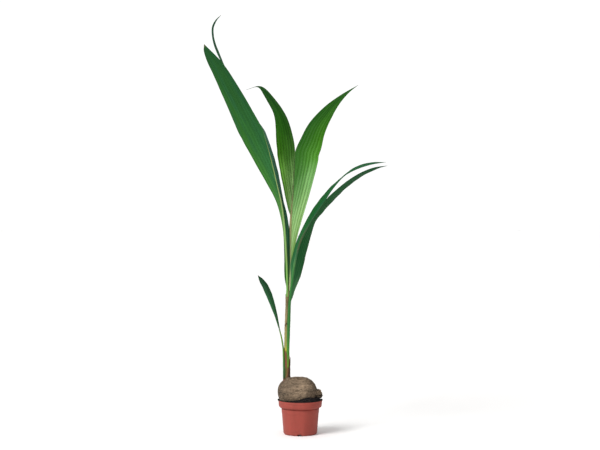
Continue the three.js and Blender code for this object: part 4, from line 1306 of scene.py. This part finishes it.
class PALM_OT_add_centre_leaf(bpy.types.Operator):
    """Add the bright leaf whose two lobes open towards the viewer"""

    bl_idname = "palm.add_centre_leaf"
    bl_label = "Add Centre Leaf"

    def execute(self, context):
        settings = context.scene.palm_leaf
        stalk = [(0.0, "#bcc496"), (0.15, "#b0bc84"), (0.42, settings.olive_stalk), (0.55, "#7c7c50")]
        stalk += [(0.68, "#55603a"), (0.8, "#2f4f20"), (1.0, "#204a14")]
        tan_side = ("#8a7c52", 0.0, 3.4, 2.0)
        skin = plant_skin("centre leaf stalk", stalk, "#6a5a3c", 0.4, 0.5, 0.0003, tan_side)
        facing = (-90, 0.35, 0.45)
        add_stalk("centre_stalk", "centre_leaf_stalk", CENTRE_STALK, skin, facing, CENTRE_ROOT)
        bright_inner = [(0.0, "#7c9c5a"), (0.22, settings.centre_foot), (0.32, "#4c7c3c")]
        bright_inner += [(0.42, "#2f6020"), (0.55, "#1c5008"), (0.8, "#124606")]
        bright_outer = [(0.0, "#65892f"), (0.14, "#70994c"), (0.26, "#80aa64"), (0.4, "#6ea05a")]
        bright_outer += [(0.5, "#478326"), (0.64, "#306806"), (0.92, settings.centre_tip)]
        # Painted shade: the left lobe, which the light only grazes, has darker colours on the side facing
        # the viewer.
        shaded_inner = [(0.0, "#6a8f4c"), (0.3, "#86ac6a"), (0.41, "#6f9a54"), (0.5, "#3a6a22")]
        shaded_inner += [(0.65, "#184606"), (0.85, "#083c0c")]
        shaded_outer = [(0.0, "#3a6814"), (0.36, "#3e6c14"), (0.42, "#4c8024"), (0.5, "#2c5e04")]
        shaded_outer += [(0.68, "#1a4e04"), (0.85, "#0a400c")]
        cool, pale = settings.centre, "#a8c898"
        bright = blade_skin(
            "centre leaf upper side", bright_inner, bright_outer, cool, pale, 0.42, 0.52,
            rib_side=0.3, cool_foot=0.1,
        )
        deep = blade_skin(
            "centre leaf shaded side", shaded_inner, shaded_outer, "#1c4c04", "#9cc080", 0.95, 0.58,
            far_side=0.3,
        )
        under = blade_skin("centre leaf underside", bright_outer, bright_inner, cool, pale, 0.5, 0.6)
        add_half(
            "centre_left_blade", "leaf_blade_bright", "centre_leaf_left_half", [deep, under],
            lobe_path(CENTRE_STALK, CENTRE_LEFT_LOBE), CENTRE_LEFT_WIDTHS, 1, 0.31, 31.0, foot=0.2,
        )
        add_half(
            "centre_right_blade", "leaf_blade_bright", "centre_leaf_right_half", [bright, under],
            lobe_path(CENTRE_STALK, CENTRE_RIGHT_LOBE), CENTRE_RIGHT_WIDTHS, -1, 0.12, 37.0, depth=1.3,
        )
        return {"FINISHED"}


# Stage


def turn_lamp(lamp, way):
    """Turns a lamp to shine that way."""
    lamp.rotation_euler = Vector(way).to_track_quat("-Z", "Y").to_euler()


def white_studio():
    """A studio that is white round the horizon, dimmer overhead and at the viewer's right."""
    world = bpy.data.worlds.new("white studio")
    world.use_nodes = True
    tree = world.node_tree
    way = add_node(tree, "TexCoord", output="Generated")
    height = add_node(tree, "SeparateXYZ", [way], "Z")
    right = add_node(tree, "SeparateXYZ", [way], "X")
    steep = add_node(tree, "Math", [height], operation="ABSOLUTE")
    above = {"Value": steep, "From Min": 0.25, "From Max": 0.6, "To Min": 1.05, "To Max": 0.62}
    aside = {"Value": right, "From Min": 0.2, "From Max": 0.9, "To Min": 1.0, "To Max": 0.55}
    level = add_node(tree, "MapRange", above)
    dimmer = add_node(tree, "MapRange", aside)
    background = tree.nodes["Background"]
    background.inputs[0].default_value = (1, 1, 1, 1)
    strength = add_node(tree, "Math", [level, dimmer], operation="MULTIPLY")
    tree.links.new(strength, background.inputs[1])
    return world


class PALM_OT_set_stage(bpy.types.Operator):
    """Add the pale floor, the soft light and the camera"""

    bl_idname = "palm.set_stage"
    bl_label = "Set Stage"

    def execute(self, context):
        settings = context.scene.palm_stage
        floor = start_piece("floor", bpy.ops.mesh.primitive_plane_add, size=FLOOR_SIZE)
        material, tree = new_material("matt paper")
        place = add_node(tree, "TexCoord", output="Object")
        fibres = add_node(tree, "TexNoise", {"Vector": place, "Scale": 400.0, "Detail": 2.0})
        ends = [(0.3, scaled(settings.floor, 0.985)), (0.7, settings.floor)]
        dress(tree, add_node(tree, "ValToRGB", [fibres], stops=ends), 0.9, 0.5)
        floor.data.materials.append(material)
        sun = start_piece("sun", bpy.ops.object.light_add, type="SUN", location=SUN_PLACE)
        sun.data.energy = settings.key
        sun.data.angle = math.radians(SUN_SPREAD)
        turn_lamp(sun, SUN_WAY)
        key = start_piece("key", bpy.ops.object.light_add, type="AREA", location=KEY_PLACE)
        key.data.size = KEY_SIZE
        key.data.energy = KEY_POWER
        turn_lamp(key, Vector(KEY_TARGET) - Vector(KEY_PLACE))
        context.scene.world = white_studio()
        context.scene.view_settings.view_transform = "Standard"
        spot = (CAMERA_SIDE, -settings.distance, settings.height)
        camera = start_piece("camera", bpy.ops.object.camera_add, location=spot)
        camera.rotation_euler = (math.radians(90), 0, 0)
        camera.data.lens = settings.focal
        camera.data.sensor_width = SENSOR_WIDTH
        context.scene.camera = camera
        return {"FINISHED"}


class PALM_PT_sidebar(bpy.types.Panel):
    """Lists the pieces of the palm"""

    bl_idname = "PALM_PT_sidebar"
    bl_label = "Coconut Palm"
    bl_space_type = "VIEW_3D"
    bl_region_type = "UI"
    bl_category = "Palm"

    def draw(self, context):
        for part, (name, _, operators) in PARTS.items():
            box = self.layout.box()
            box.label(text=part)
            settings = getattr(context.scene, name)
            for setting in settings.__annotations__:
                box.prop(settings, setting)
            for operator in operators:
                box.operator(operator.bl_idname)


LEAVES = [PALM_OT_add_small_leaf, PALM_OT_add_right_leaf, PALM_OT_add_left_leaf, PALM_OT_add_centre_leaf]
PARTS = {
    "Pot": ("palm_pot", PotSettings, [PALM_OT_add_pot]),
    "Soil": ("palm_soil", SoilSettings, [PALM_OT_add_soil]),
    "Nut": ("palm_nut", NutSettings, [PALM_OT_add_nut]),
    "Stem": ("palm_stem", StemSettings, [PALM_OT_add_stem]),
    "Leaves": ("palm_leaf", LeafSettings, LEAVES),
    "Stage": ("palm_stage", StageSettings, [PALM_OT_set_stage]),
}


def register():
    for name, group, operators in PARTS.values():
        for kind in (group, *operators):
            bpy.utils.register_class(kind)
        setattr(bpy.types.Scene, name, bpy.props.PointerProperty(type=group))
    bpy.utils.register_class(PALM_PT_sidebar)


def unregister():
    bpy.utils.unregister_class(PALM_PT_sidebar)
    for name, group, operators in PARTS.values():
        delattr(bpy.types.Scene, name)
        for kind in (*operators, group):
            bpy.utils.unregister_class(kind)


def main():
    register()
    bpy.ops.palm.add_pot()
    bpy.ops.palm.add_soil()
    bpy.ops.palm.add_nut()
    bpy.ops.palm.add_stem()
    bpy.ops.palm.add_small_leaf()
    bpy.ops.palm.add_right_leaf()
    bpy.ops.palm.add_left_leaf()
    bpy.ops.palm.add_centre_leaf()
    bpy.ops.palm.set_stage()


if __name__ == "__main__":
    main()
